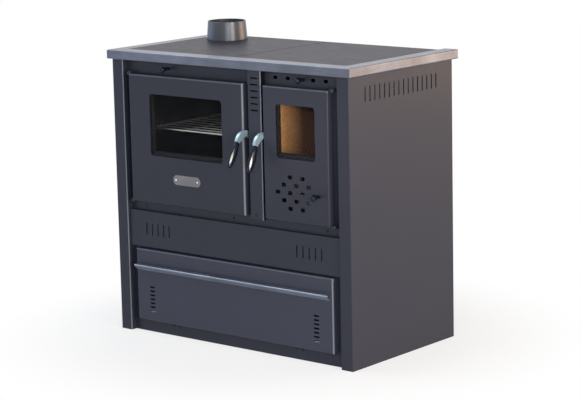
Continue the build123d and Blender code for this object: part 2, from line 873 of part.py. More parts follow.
def lever_arm(x, lift):
    """Cast lever: boss, arched elbow down to the grip, and the claw behind the boss."""
    plane = lever_plane(x, lift)
    across = (math.cos(lean), math.sin(lean))
    half = grip_half_depths[0]
    outer_end = (grip_root[0] + half * across[0], grip_root[1] + half * across[1])
    inner_end = (grip_root[0] - half * across[0], grip_root[1] - half * across[1])
    boss_front = lever_boss_radius / 3
    boss_back = -lever_boss_radius / 2
    outer_start = (boss_front, lever_boss_radius + elbow_shoulder)
    inner_start = (boss_front, -lever_boss_radius + elbow_shoulder)
    elbow = make_face([
        ThreePointArc(outer_start, elbow_outer, outer_end),
        Line(outer_end, inner_end),
        ThreePointArc(inner_end, elbow_inner, inner_start),
        Line(inner_start, (boss_back, 0.0)),
        Line((boss_back, 0.0), outer_start),
    ])
    boss = Circle(lever_boss_radius)
    arm = extrude(plane * (elbow + boss), amount=lever_thickness / 2, both=True)
    claw = make_face(Polyline(
        (0, 0),
        (-lever_boss_radius, boss_back),
        (-claw_shoulder, -claw_arm_top),
        (-claw_nose, -claw_arm_top),
        (-claw_nose, -claw_drop),
        (-claw_nose - claw_hook, -claw_drop),
        (-claw_nose - claw_hook, -claw_arm_bottom),
        (-claw_shoulder, -claw_arm_bottom),
        (0, -lever_boss_radius + elbow_shoulder),
        close=True,
    ))
    hook = extrude(plane * claw, amount=claw_thickness / 2, both=True)
    return arm + hook - rod_x(grown((x, x), lever_thickness), lever_pivot_y, lever_z, lever_pin_radius)


def grip_sections(plane, extra):
    """Ellipses along the grip's axis, each grown by an amount."""
    sections = []
    for station, half_width, half_depth in zip(grip_stations, grip_half_widths, grip_half_depths):
        along = station * grip_length
        place = (grip_root[0] + along * grip_axis[0], grip_root[1] + along * grip_axis[1])
        origin = plane.from_local_coords(Vector(place[0], place[1], 0))
        direction = plane.from_local_coords(Vector(place[0] + grip_axis[0], place[1] + grip_axis[1], 0))
        section = Plane(origin=origin, x_dir=(1, 0, 0), z_dir=direction - origin)
        sections.append(section * Ellipse(half_width + extra, half_depth + extra))
    return sections


def lever_grip(x, lift):
    """Moulded grip: an oval bar, fullest in its middle."""
    return loft(grip_sections(lever_plane(x, lift), 0.0))


def lever_inlay(x, lift):
    """Leaf-shaped bright inlay let on to the grip, turned from its front towards +X."""
    plane = lever_plane(x, lift)
    skin = loft(grip_sections(plane, inlay_proud)) - lever_grip(x, lift)
    middle = (inlay_start + inlay_end) / 2
    origin_local = (grip_root[0] + middle * grip_axis[0], grip_root[1] + middle * grip_axis[1])
    origin = plane.from_local_coords(Vector(origin_local[0], origin_local[1], 0))
    ahead = plane.from_local_coords(
        Vector(origin_local[0] + grip_axis[1] * -1, origin_local[1] + grip_axis[0], 0)
    )
    half = (inlay_end - inlay_start) / 2
    leaf = make_face([
        ThreePointArc((0, -half), (inlay_half_width, 0), (0, half)),
        ThreePointArc((0, half), (-inlay_half_width, 0), (0, -half)),
    ])
    front = Plane(origin=origin, x_dir=(1, 0, 0), z_dir=ahead - origin)
    reach = max(grip_half_depths) + 2 * inlay_proud
    return skin & extrude(front * Rot(0, inlay_turn, 0) * leaf, amount=reach)


def lever_pin(x, inwards):
    """Pivot pin from the lever into the door; inwards is the direction into the door."""
    outer = x - inwards * (lever_thickness / 2 + pin_head_proud)
    door_edge = oven_door_x[1] if inwards < 0 else firebox_door_x[0]
    inner = door_edge + inwards * (sheet + bush_length + touch + nut_thickness + pin_end_proud)
    return rod_x((min(outer, inner), max(outer, inner)), lever_pivot_y, lever_z, lever_pin_radius)


def lever_bush(inwards):
    """Bearing tube behind the door's edge that the pivot pin turns in."""
    door_edge = oven_door_x[1] if inwards < 0 else firebox_door_x[0]
    start = door_edge + inwards * sheet
    end = start + inwards * bush_length
    span = (min(start, end), max(start, end))
    tube = rod_x(span, lever_pivot_y, lever_z, bush_radius)
    return tube - rod_x(grown(span, 1), lever_pivot_y, lever_z, lever_pin_radius + running_clearance)


def lever_nut(inwards):
    """Hexagon nut on the inner end of the pivot pin."""
    door_edge = oven_door_x[1] if inwards < 0 else firebox_door_x[0]
    start = door_edge + inwards * (sheet + bush_length + touch)
    plane = Plane(origin=(start, lever_pivot_y, lever_z), x_dir=(0, 1, 0), z_dir=(inwards, 0, 0))
    hexagon = RegularPolygon(nut_width / 2, 6, major_radius=False, rotation=30)
    nut = extrude(plane * hexagon, amount=nut_thickness)
    end = start + inwards * nut_thickness
    hole = grown((min(start, end), max(start, end)), 1)
    return nut - rod_x(hole, lever_pivot_y, lever_z, lever_pin_radius)


# ---------------------------------------------------------------- knobs and sliders
def ball_knob(x, face_y, z):
    """Ball knob on a tapered neck; face_y is the sheet that it stands in front of."""
    centre_y = face_y - knob_reach
    neck_end = face_y - swing_gap
    neck_length = neck_end - centre_y
    neck_place = Pos(x, (centre_y + neck_end) / 2, z) * Rot(90, 0, 0)
    neck = neck_place * Cone(stem_radius + 0.6, knob_neck_radius, neck_length)
    ball = Pos(x, centre_y, z) * Sphere(knob_radius)
    return ball + neck - rod_y(x, (centre_y, neck_end + 1), z, stem_radius / 2)


def knob_stem(x, face_y, inner_y, z):
    """Stud that carries a knob through its slot, with its threaded end inside the knob."""
    thread = rod_y(x, (face_y - knob_reach, face_y - swing_gap), z, stem_radius / 2)
    return thread + rod_y(x, (face_y - swing_gap, inner_y), z, stem_radius)


def air_slider():
    """Slide plate behind the rosette, with the same holes and the knob's stud."""
    y = (door_y + sheet + touch, door_y + sheet + touch + slider_sheet)
    rows = (len(air_rows) - 1) / 2
    half_height = rows * air_pitch_z + air_hole_height
    knob_x = firebox_door_centre + air_knob_offset
    span = (firebox_door_centre - 1.5 * air_pitch_x - air_hole_width, knob_x + 2 * stem_radius)
    plate = block(span, y, (air_centre_z - half_height, air_centre_z + half_height))
    cut = grown(y, 1)
    holes = [air_hole(x, z, cut) for x, z in air_positions()]
    return plate - holes + knob_stem(knob_x, door_y, y[0], air_centre_z)


def air_guides():
    """Strips above and below the slide plate that hold it against the cover."""
    rows = (len(air_rows) - 1) / 2
    half_height = rows * air_pitch_z + air_hole_height
    front = door_y + sheet
    back = front + touch + slider_sheet + touch
    span = (firebox_door_x[0] + sheet + 3, firebox_door_x[1] - sheet - 3)
    guides = []
    for side in (-1, 1):
        near = air_centre_z + side * (half_height + touch)
        far = near + side * guide_width
        lap = near - side * guide_lap
        web = block(span, (front, back), (min(near, far), max(near, far)))
        lip = block(span, (back, back + slider_sheet), (min(lap, far), max(lap, far)))
        guides.append(web + lip)
    return guides


def header_slider():
    """Slide plate behind the row of header holes."""
    y = (carcass_rear_y + touch, carcass_rear_y + touch + slider_sheet)
    half_height = header_hole_height / 2 + 3
    knob_x = firebox_door_centre + header_knob_offset
    span = grown((firebox_door_centre, firebox_door_centre), 2 * header_pitch + header_hole_width)
    plate = block(span, y, (header_z - half_height, header_z + half_height))
    cut = grown(y, 1)
    holes = []
    for index, x in enumerate(spread(5, header_pitch, firebox_door_centre)):
        if index == 2:
            continue
        size = (header_hole_width, header_hole_height, header_hole_corner)
        holes.append(rounded_hole(x, header_z, *size, cut))
    return plate - holes + knob_stem(knob_x, carcass_y, y[0], header_z)


def header_guides():
    """Strips that hold the header's slide plate against the carcass."""
    half_height = header_hole_height / 2 + 3
    back = carcass_rear_y + touch + slider_sheet + touch
    span = grown((firebox_door_centre, firebox_door_centre), 2 * header_pitch + 2 * header_hole_width)
    guides = []
    for side in (-1, 1):
        near = header_z + side * (half_height + touch)
        far = near + side * guide_width
        lap = near - side * 2
        web = block(span, (carcass_rear_y, back), (min(near, far), max(near, far)))
        lip = block(span, (back, back + slider_sheet), (min(lap, far), max(lap, far)))
        guides.append(web + lip)
    return guides


def damper_slide():
    """Pull rod with the flue bypass plate welded under its rear end."""
    bottom = damper_z - stem_radius - 1.2
    plate = block(
        grown((damper_x, damper_x), damper_plate_width / 2),
        (damper_plate_y, damper_plate_y + damper_plate_length),
        (bottom, bottom + baffle_sheet),
    )
    return knob_stem(damper_x, carcass_y, damper_plate_y + damper_plate_length / 2, damper_z) + plate


def flue_baffle():
    """Shelf in the smoke way; its hole is the bypass that the damper plate covers."""
    top = damper_z - stem_radius - 1.2 - touch
    inner = casing_x - carcass_sheet
    shelf = block(
        (-inner, damper_x + damper_plate_width / 2 + 12),
        (damper_plate_y - damper_travel - 12, casing_rear_y - carcass_sheet),
        (top - baffle_sheet, top),
    )
    hole = block(
        grown((damper_x, damper_x), damper_plate_width / 2 - 10),
        (damper_plate_y + 10, damper_plate_y + damper_plate_length - 10),
        (top - baffle_sheet - 1, top + 1),
    )
    return shelf - hole


# ---------------------------------------------------------------- inner casing and oven
def heat_casing():
    """Inner sheet casing with the flue shelf, open to the front and under the hob."""
    t = carcass_sheet
    outer = block((-casing_x, casing_x), (carcass_rear_y, casing_rear_y), (casing_z, frame_bottom))
    inside = block(
        (-casing_x + t, casing_x - t),
        (carcass_rear_y - 1, casing_rear_y - t),
        (casing_z + t, frame_bottom + 1),
    )
    return outer - inside + flue_baffle()


def oven_box():
    """Oven shell, welded to the back of the carcass front."""
    t = oven_sheet
    y = (carcass_rear_y, carcass_rear_y + oven_depth)
    inside = block(oven_x, (y[0] - 1, y[1]), oven_z)
    return block(grown(oven_x, t), (y[0], y[1] + t), grown(oven_z, t)) - inside


def oven_runners():
    """Angle runners on both oven walls under the rack."""
    top = rack_z - rack_frame_radius - touch
    y = (carcass_rear_y + runner_front_gap, carcass_rear_y + oven_depth)
    runners = []
    for wall, inwards in ((oven_x[0], 1), (oven_x[1], -1)):
        edge = wall + inwards * runner_width
        leg = wall + inwards * sheet
        shelf = block((min(wall, edge), max(wall, edge)), y, (top - sheet, top))
        web = block((min(wall, leg), max(wall, leg)), y, (top - runner_drop, top))
        runners.append(shelf + web)
    return runners


def oven_rack():
    """Wire rack: a frame of thicker rod, cross wires and two bearers below them."""
    x = grown(oven_x, -rack_side_gap)
    y = (rack_front_y, rack_front_y + rack_depth)
    r = rack_frame_radius
    outline = RectangleRounded(x[1] - x[0] - 2 * r, rack_depth, rack_corner)
    loop = (Pos(sum(x) / 2, sum(y) / 2, rack_z) * outline).wire()
    frame = sweep(Plane(origin=loop @ 0, z_dir=loop % 0) * Circle(r), path=loop)
    pitch = rack_depth / (rack_wire_count + 1)
    for index in range(rack_wire_count):
        frame += rod_x((x[0] + r, x[1] - r), y[0] + pitch * (index + 1), rack_z, rack_wire_radius)
    for share in (1 / 3, 2 / 3):
        bearer_x = x[0] + share * (x[1] - x[0])
        frame += rod_y(bearer_x, y, rack_z - rack_wire_radius, rack_bearer_radius)
    return frame


# ---------------------------------------------------------------- firebox
firebox_inner_x = grown(firebox_x, brick_thickness)
firebox_front_y = carcass_rear_y + firebox_front_gap
firebox_back_y = firebox_front_y + firebox_depth
firebox_middle = sum(firebox_x) / 2
floor_top = firebox_floor_z + firebox_wall
brick_top = floor_top + brick_height


def firebox_shell():
    """Welded steel firebox, open to the front and at its top."""
    t = firebox_wall
    back = firebox_back_y + brick_thickness
    outer = block(grown(firebox_inner_x, t), (carcass_rear_y, back + t), firebox_shell_z)
    low, high = firebox_shell_z
    return outer - block(firebox_inner_x, (carcass_rear_y - 1, back), (low + t, high + 1))


def firebox_floor():
    """Floor plate with the opening that the grate lies over."""
    y = (carcass_rear_y + touch, firebox_back_y + brick_thickness)
    plate = block(firebox_inner_x, y, (firebox_floor_z, floor_top))
    hole = block(
        grown((firebox_middle, firebox_middle), grate_width / 2 - grate_rim),
        grown((grate_middle_y, grate_middle_y), grate_length / 2 - grate_rim),
        (firebox_floor_z - 1, floor_top + 1),
    )
    return plate - hole


grate_middle_y = firebox_front_y + firebox_depth / 2 - grate_forward


def grate():
    """Cast-iron grate with long slots."""
    plate = block(
        grown((firebox_middle, firebox_middle), grate_width / 2),
        grown((grate_middle_y, grate_middle_y), grate_length / 2),
        (floor_top, floor_top + grate_thickness),
    )
    plate = fillet(plate.edges().filter_by(Axis.Z), 8)
    pitch = (grate_width - 2 * grate_rim) / grate_slot_count
    slots = []
    for x in spread(grate_slot_count, pitch, firebox_middle):
        outline = SlotOverall(grate_length - 2 * grate_rim, pitch * 0.5, rotation=90)
        slots.append(extrude(Pos(x, grate_middle_y, floor_top - 1) * outline, amount=grate_thickness + 2))
    return plate - slots


def side_brick(side):
    """Vermiculite board on one firebox wall."""
    inner = firebox_x[0] if side < 0 else firebox_x[1]
    outer = inner + side * brick_thickness
    span = (min(inner, outer), max(inner, outer))
    board = block(span, (firebox_front_y, firebox_back_y), (floor_top, brick_top))
    return chamfer(board.edges().filter_by(Axis.Z), 1.5)


def rear_brick():
    """Vermiculite board on the firebox's back wall."""
    y = (firebox_back_y, firebox_back_y + brick_thickness)
    return block(firebox_inner_x, y, (floor_top, brick_top))


def baffle_brick():
    """Vermiculite baffle lying on the side boards, with the smoke gap behind it."""
    y = (firebox_front_y, firebox_front_y + baffle_brick_depth)
    return block(firebox_inner_x, y, (brick_top, brick_top + baffle_brick_thickness))


def log_retainer():
    """Slotted steel plate that keeps the fire off the glass, its top edge folded back."""
    front = carcass_rear_y + 5.0
    span = grown(firebox_x, -2.0)
    plate = block(span, (front, front + carcass_sheet), (floor_top, floor_top + retainer_bar_height))
    top = floor_top + retainer_bar_height
    lip = block(span, (front, front + retainer_bar_lip - 3), (top - carcass_sheet, top))
    pitch = (span[1] - span[0]) / (retainer_bar_slots + 1)
    cut = (front - 1, front + carcass_sheet + 1)
    middle_z = floor_top + retainer_bar_height / 2
    slots = []
    for x in spread(retainer_bar_slots, pitch, firebox_middle):
        slots.append(slot_prism(x, middle_z, 9.0, retainer_bar_height * 0.6, cut))
    return plate + lip - slots


def ash_pan():
    """Sheet ash pan under the grate with a finger lip at its front."""
    span = grown((firebox_middle, firebox_middle), ash_pan_width / 2)
    low = firebox_shell_z[0] + firebox_wall + touch
    y = (ash_pan_front_y, ash_pan_front_y + ash_pan_length)
    pan = tray(span, y, (low, low + ash_pan_height), ash_pan_sheet)
    lip_span = grown((firebox_middle, firebox_middle), ash_pan_width / 4)
    lip_top = low + ash_pan_height
    lip = block(lip_span, (y[0] - ash_pan_grip, y[0]), (lip_top - ash_pan_sheet, lip_top))
    fold = block(
        lip_span,
        (y[0] - ash_pan_grip, y[0] - ash_pan_grip + ash_pan_sheet),
        (lip_top - ash_pan_grip, lip_top),
    )
    return pan + lip + fold


# ---------------------------------------------------------------- log drawer
def drawer_front():
    """Folded drawer front with a column of vents near each end."""
    half = drawer_front_width / 2
    y = (drawer_y, drawer_y + drawer_front_depth)
    shell = cover((-half, half), y, (drawer_bottom, drawer_top), sheet, door_bend)
    cut = (drawer_y - 1, drawer_y + sheet + 1)
    vents = []
    for side in (-1, 1):
        for z in spread(vent_count, vent_pitch, vent_z):
            vents.append(slot_prism(side * vent_x, z, vent_width, vent_height, cut))
    return shell - vents


rail_top = base_z + carcass_sheet + rail_height


def drawer_box():
    """Open-topped log box behind the drawer front, its front wall open behind the vents."""
    half = drawer_box_width / 2
    y = drawer_box_y
    low = rail_top + touch
    box = tray((-half, half), y, (low, low + drawer_box_height), drawer_box_sheet)
    vent_half = (vent_count - 1) * vent_pitch / 2 + vent_height
    for side in (-1, 1):
        window_x = grown((side * vent_x, side * vent_x), vent_width / 2 + vent_window_margin)
        window_z = (low + vent_window_margin, vent_z + vent_half)
        box -= block(window_x, (y[0] - 1, y[0] + drawer_box_sheet + 1), window_z)
    return box


def drawer_rails():
    """Angle rails on the base plate that the drawer slides on."""
    half = drawer_box_width / 2
    floor = base_z + carcass_sheet
    y = (carcass_rear_y + touch, back_inner_y - rail_rear_gap)
    rails = []
    for side in (-1, 1):
        inner = side * (half - rail_width / 2)
        outer = side * (half + rail_width / 2)
        leg = outer - side * carcass_sheet
        shelf = block((min(inner, outer), max(inner, outer)), y, (rail_top - carcass_sheet, rail_top))
        web = block((min(leg, outer), max(leg, outer)), y, (floor, rail_top))
        rails.append(shelf + web)
    return rails


def drawer_bar():
    """Pull bar: a V-shaped folded lip, open at the top, its front edge hemmed and its ends closed."""
    foot = bar_top_z - bar_height
    section = Plane(origin=(0, 0, 0), x_dir=(0, 1, 0), z_dir=(1, 0, 0))
    outer = make_face(Polyline(
        (drawer_y, bar_top_z),
        (drawer_y - bar_reach, bar_top_z),
        (drawer_y, foot),
        close=True,
    ))
    folds = [corner for corner in outer.vertices() if corner.Y < foot + 1 or corner.X < drawer_y - 1]
    outer = fillet(folds, bar_bend)
    brow = outer.bounding_box().min.X
    lip = outer - offset(outer, amount=-bar_sheet)
    lip -= make_face(Polyline(
        (brow + bar_hem, bar_top_z - bar_sheet - touch),
        (brow + bar_hem, bar_top_z + 1),
        (drawer_y - bar_sheet, bar_top_z + 1),
        (drawer_y - bar_sheet, bar_top_z - bar_sheet - touch),
        close=True,
    ))
    folded = extrude(section * lip, amount=bar_half_width, both=True)
    ends = []
    for start in (-bar_half_width, bar_half_width - bar_sheet):
        end_plane = Plane(origin=(start, 0, 0), x_dir=(0, 1, 0), z_dir=(1, 0, 0))
        ends.append(extrude(end_plane * outer, amount=bar_sheet))
    return folded + ends


# ---------------------------------------------------------------- all nodes
firebox_air_gap = (
    grown(firebox_x, -seal_offset),
    (firebox_opening_z[0] + seal_offset, air_centre_z + len(air_rows) / 2 * air_pitch_z + seal_offset),
)

nodes = {
    "side_panel_left": side_panel(-1),
    "side_panel_right": side_panel(1),
    "back_panel": back_panel(),
    "base_plate": base_plate(),
    "plinth": plinth(),
    "fascia_panel": fascia_panel(),
    "carcass_front": carcass_front(),
    "centre_stile": centre_stile(),
    "body_screws": plinth_screws() + strip_screws() + [stile_screw()] + back_screws(),
    "trim_front": trim_front(),
    "trim_left": trim_side(-1),
    "trim_right": trim_side(1),
    "hob_plate_left": hob_plate(-1),
    "hob_plate_right": hob_plate(1),
    "top_frame": top_frame(),
    "flue_collar": flue_collar(),
    "heat_casing": heat_casing(),
    "hinge_brackets": hinge_brackets(-1) + hinge_brackets(1),
    "hinge_pins": hinge_pins(-1) + hinge_pins(1),
    "damper_slide": damper_slide(),
    "damper_knob": ball_knob(damper_x, carcass_y, damper_z),
    "header_slider": header_slider(),
    "header_knob": ball_knob(firebox_door_centre + header_knob_offset, carcass_y, header_z),
    "oven_box": oven_box(),
    "oven_runners": oven_runners(),
    "oven_rack": oven_rack(),
    "oven_door_cover": oven_door_cover(),
    "oven_door_liner": door_liner(oven_door_x, oven_window),
    "oven_glass": glass_pane(oven_window),
    "oven_glass_gasket": glass_gasket(oven_window),
    "oven_glass_retainer": glass_retainer(oven_window),
    "oven_door_seal": door_seal(oven_x, oven_z),
    "nameplate": nameplate(),
    "nameplate_rivets": nameplate_rivets(),
    "oven_lever": lever_arm(oven_lever_x, oven_lever_lift),
    "oven_lever_grip": lever_grip(oven_lever_x, oven_lever_lift),
    "oven_lever_inlay": lever_inlay(oven_lever_x, oven_lever_lift),
    "oven_lever_pin": [lever_pin(oven_lever_x, -1), lever_nut(-1)],
    "firebox_shell": firebox_shell() + firebox_floor(),
    "firebox_bricks": [side_brick(-1), side_brick(1), rear_brick()],
    "baffle_brick": baffle_brick(),
    "grate": grate(),
    "log_retainer": log_retainer(),
    "ash_pan": ash_pan(),
    "firebox_door_cover": firebox_door_cover(),
    "firebox_door_liner": door_liner(firebox_door_x, firebox_window, firebox_air_gap),
    "firebox_glass": glass_pane(firebox_window),
    "firebox_glass_gasket": glass_gasket(firebox_window),
    "firebox_glass_retainer": glass_retainer(firebox_window),
    "firebox_door_seal": door_seal(firebox_x, firebox_opening_z),
    "air_slider": air_slider(),
    "air_knob": ball_knob(firebox_door_centre + air_knob_offset, door_y, air_centre_z),
    "firebox_lever": lever_arm(firebox_lever_x, 0.0),
    "firebox_lever_grip": lever_grip(firebox_lever_x, 0.0),
    "firebox_lever_inlay": lever_inlay(firebox_lever_x, 0.0),
    "firebox_lever_pin": [lever_pin(firebox_lever_x, 1), lever_nut(1)],
    "drawer_front": drawer_front(),
    "drawer_box": drawer_box(),
    "drawer_bar": drawer_bar(),
    "drawer_rails": drawer_rails(),
}

os.makedirs("parts", exist_ok=True)
for name, shape in nodes.items():
    solid = Compound(children=shape) if isinstance(shape, list) else shape
    export_step(solid, f"parts/{name}.step")
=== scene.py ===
import json
import math

import bmesh
import bpy
import numpy as np
from mathutils import Matrix, Vector


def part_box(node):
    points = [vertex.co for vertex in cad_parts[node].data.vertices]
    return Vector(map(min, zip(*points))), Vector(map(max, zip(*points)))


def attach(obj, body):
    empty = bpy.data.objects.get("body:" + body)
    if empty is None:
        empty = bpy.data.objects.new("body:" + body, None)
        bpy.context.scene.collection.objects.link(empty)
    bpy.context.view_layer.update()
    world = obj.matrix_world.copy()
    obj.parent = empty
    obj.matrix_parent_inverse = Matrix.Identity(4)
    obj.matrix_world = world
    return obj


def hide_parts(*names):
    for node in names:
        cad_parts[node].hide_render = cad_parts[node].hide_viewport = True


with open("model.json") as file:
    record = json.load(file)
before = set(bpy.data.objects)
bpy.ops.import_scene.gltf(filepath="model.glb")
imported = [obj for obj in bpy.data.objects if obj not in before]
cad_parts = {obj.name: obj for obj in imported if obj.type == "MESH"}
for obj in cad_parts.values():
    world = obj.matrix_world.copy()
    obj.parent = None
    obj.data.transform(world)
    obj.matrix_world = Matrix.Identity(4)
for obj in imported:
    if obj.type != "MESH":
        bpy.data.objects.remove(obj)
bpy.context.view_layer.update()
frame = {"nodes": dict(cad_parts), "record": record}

bl_info = {
    "name": "Wood Cookstove Looks",
    "version": (1, 0, 0),
    "blender": (4, 5, 0),
    "location": "View3D > Sidebar > Cookstove",
    "description": "Finishes, grips, rope seals and studio for a wood-burning cookstove",
    "category": "Object",
}

MM = 0.001
CAD_NODES = frame["nodes"]
SLOT_OF = {entry["node"]: entry["material_slot"] for entry in frame["record"]["subparts"]}
# Each door has a lever, a rope seal and a glass, all named after it.
DOORS = ("oven", "firebox")

# The camera: where it stands, how it is turned, and its lens, for a picture 580 wide.
CAMERA_PLACE = (3.9424, -4.7286, 1.5692)
CAMERA_AZIMUTH = math.radians(39.62)
CAMERA_ELEVATION = math.radians(10.74)
CAMERA_ROLL = math.radians(-1.27)
CAMERA_FOCAL_PIXELS = 2115.6
PICTURE_WIDTH = 580
SENSOR_WIDTH = 36.0
CAMERA_REACH = 60.0

# The floor: half its side, the distances at which it fades to white, and how far it is lifted
# towards white where the stove stands.
FLOOR_HALF = 14.0
FLOOR_FADE = (0.45, 0.95)
FLOOR_LIFT = 0.7
# What the surroundings give the stove, and the point at which the soft boxes look.
WORLD_TINT = (0.9, 0.94, 1.0, 1.0)
WORLD_STRENGTH = 0.36
LAMP_TARGET = (0.0, 0.0, 0.45)
# The narrow lamp on the firebox window.
SNOOT_PLACE = (3.7, -4.9, 1.9)
SNOOT_TINT = (1.0, 0.9, 0.78)
SNOOT_SPREAD = math.radians(3.2)
SNOOT_SOFT_RIM = 0.8
SNOOT_RADIUS = 0.15
WHITE = (1.0, 1.0, 1.0, 1.0)

# Sheets with a painted highlight on the front fold above and on their right, and the fold's width.
PAINTED_HIGHLIGHT_FOLDS = {
    "oven_door_cover": 4.2 * MM,
    "firebox_door_cover": 4.2 * MM,
    "drawer_front": 3.4 * MM,
    "centre_stile": 2.4 * MM,
    "side_panel_left": 2.4 * MM,
}
# How strongly the painted highlight pales the upper and the right-hand folds.
TOP_HIGHLIGHT = 0.22
RIGHT_HIGHLIGHT = 0.55
# The painted shade inside the centre stile starts behind its front sheet.
STILE_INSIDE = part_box("centre_stile")[0].y + 2.6 * MM
# The coat's gloss, and its tones as shares of the body colour: deep, and the drawer's two, a painted
# sheen.
COAT_ROUGHNESS = 0.42
DEEP_SHARE = 0.86
DRAWER_SHEEN_SHARE = 1.6
DRAWER_SHEEN_DEEP_SHARE = 1.35
# Painted shade on the firebox boards along the depth, and darkening up the height, from clean
# to near black, and how much of a board it hides at most.
SHADE_DEPTH = (-0.225, -0.105)
DARKER_HEIGHT = (0.71, 0.82)
DARKENING_COVER = 0.93
# The range in which most of a noise pattern's values lie.
MOST_OF_NOISE = {"From Min": 0.3, "From Max": 0.7}


def linear(hex_colour):
    """Turns an sRGB hex colour into linear red, green and blue, with a full alpha."""
    values = [int(hex_colour[i:i + 2], 16) / 255 for i in (1, 3, 5)]
    line = [v / 12.92 if v <= 0.04045 else ((v + 0.055) / 1.055) ** 2.4 for v in values]
    return (*line, 1.0)


def node(tree, kind, values=None, links=None, **settings):
    """Adds one shader node, sets its properties and input values, and links its inputs."""
    made = tree.nodes.new(kind)
    for name, value in settings.items():
        setattr(made, name, value)
    for socket, value in (values or {}).items():
        made.inputs[socket].default_value = value
    for socket, source in (links or {}).items():
        tree.links.new(source, made.inputs[socket])
    return made


def blank(name):
    """A new material whose node tree holds only the place on the piece, in its own coordinates."""
    material = bpy.data.materials.new(name)
    material.use_nodes = True
    tree = material.node_tree
    tree.nodes.clear()
    return material, tree, node(tree, "ShaderNodeTexCoord").outputs["Object"]


def per_mm(size):
    """The texture scale that gives one pattern repeat in that many millimetres."""
    return 1.0 / (size * MM)


def close(tree, values, links):
    """Ends a material with its shader and output."""
    shader = node(tree, "ShaderNodeBsdfPrincipled", values, links)
    node(tree, "ShaderNodeOutputMaterial", links={"Surface": shader.outputs["BSDF"]})


def shown(tree):
    """One for rays that show the background: from the camera, off metal and through glass."""
    rays = node(tree, "ShaderNodeLightPath")
    mirror = node(
        tree, "ShaderNodeMath", operation="MAXIMUM",
        links={0: rays.outputs["Is Glossy Ray"], 1: rays.outputs["Is Transmission Ray"]},
    )
    both = node(
        tree, "ShaderNodeMath", operation="MAXIMUM",
        links={0: rays.outputs["Is Camera Ray"], 1: mirror.outputs["Value"]},
    )
    return both.outputs["Value"]


# ---------------------------------------------------------------- finishes
def painted_inside_shade(tree, place, tint, depth):
    """Lays near black over a tint behind a given depth: painted shade where the sheet's inside lies in
    shadow.
    """
    axes = node(tree, "ShaderNodeSeparateXYZ", links={"Vector": place})
    behind = node(
        tree, "ShaderNodeMath", {1: depth}, {0: axes.outputs["Y"]}, operation="GREATER_THAN"
    )
    # The near black is painted shade.
    return node(
        tree, "ShaderNodeMix", {"B": linear("#0d0e11")},
        {"A": tint.outputs["Result"], "Factor": behind.outputs["Value"]}, data_type="RGBA",
    )


def painted_fold_highlights(tree, place, tint, right, top, front):
    """Lays a painted highlight of pale grey over a tint, in part, to the right of one place and above
    another, and in both cases only in front of a third."""
    axes = node(tree, "ShaderNodeSeparateXYZ", links={"Vector": place})
    before = node(
        tree, "ShaderNodeMath", {1: front}, {0: axes.outputs["Y"]}, operation="LESS_THAN"
    )
    for axis, start, highlight_share in (("Z", top, TOP_HIGHLIGHT), ("X", right, RIGHT_HIGHLIGHT)):
        past = node(
            tree, "ShaderNodeMath", {1: start}, {0: axes.outputs[axis]}, operation="GREATER_THAN"
        )
        fold = node(
            tree, "ShaderNodeMath",
            links={0: past.outputs["Value"], 1: before.outputs["Value"]}, operation="MULTIPLY",
        )
        highlit = node(tree, "ShaderNodeMath", {1: highlight_share}, {0: fold.outputs["Value"]}, operation="MULTIPLY")
        # Painted highlight: pale grey laid on the fold, weaker on the upper fold than on the right.
        tint = node(
            tree, "ShaderNodeMix", {"B": linear("#858b94")},
            {"A": tint.outputs["Result"], "Factor": highlit.outputs["Value"]}, data_type="RGBA",
        )
    return tint


def powder_enamel(name, colour, deep, roughness, inside_from=None, folds=None):
    """Powder-coated sheet steel, baked: a fine orange-peel skin and a soft satin gloss that
    drifts a little over each panel. Behind a given depth the sheet is painted near black as shade
    inside, and its front folds on the right and above get a painted highlight."""
    material, tree, place = blank(name)
    # Orange peel is about 1.5 mm across on the real coat and is drawn at 3 mm so that it shows.
    peel = node(tree, "ShaderNodeTexNoise", {"Scale": per_mm(3.0), "Detail": 2.0}, {"Vector": place})
    drift = node(
        tree, "ShaderNodeTexNoise", {"Scale": per_mm(160.0), "Detail": 3.0}, {"Vector": place}
    )
    tint = node(
        tree, "ShaderNodeMix", {"A": deep, "B": colour}, {"Factor": drift.outputs["Fac"]},
        data_type="RGBA",
    )
    if inside_from is not None:
        tint = painted_inside_shade(tree, place, tint, inside_from)
    if folds is not None:
        tint = painted_fold_highlights(tree, place, tint, *folds)
    gloss = node(
        tree, "ShaderNodeMapRange",
        {**MOST_OF_NOISE, "To Min": roughness - 0.05, "To Max": roughness + 0.06},
        {"Value": drift.outputs["Fac"]},
    )
    bump = node(
        tree, "ShaderNodeBump", {"Strength": 0.12, "Distance": 0.05 * MM},
        {"Height": peel.outputs["Fac"]},
    )
    close(
        tree,
        {"IOR": 1.5, "Specular IOR Level": 0.14, "Coat Weight": 0.1, "Coat Roughness": 0.22},
        {"Base Color": tint.outputs["Result"], "Roughness": gloss.outputs["Result"],
         "Normal": bump.outputs["Normal"]},
    )
    return material


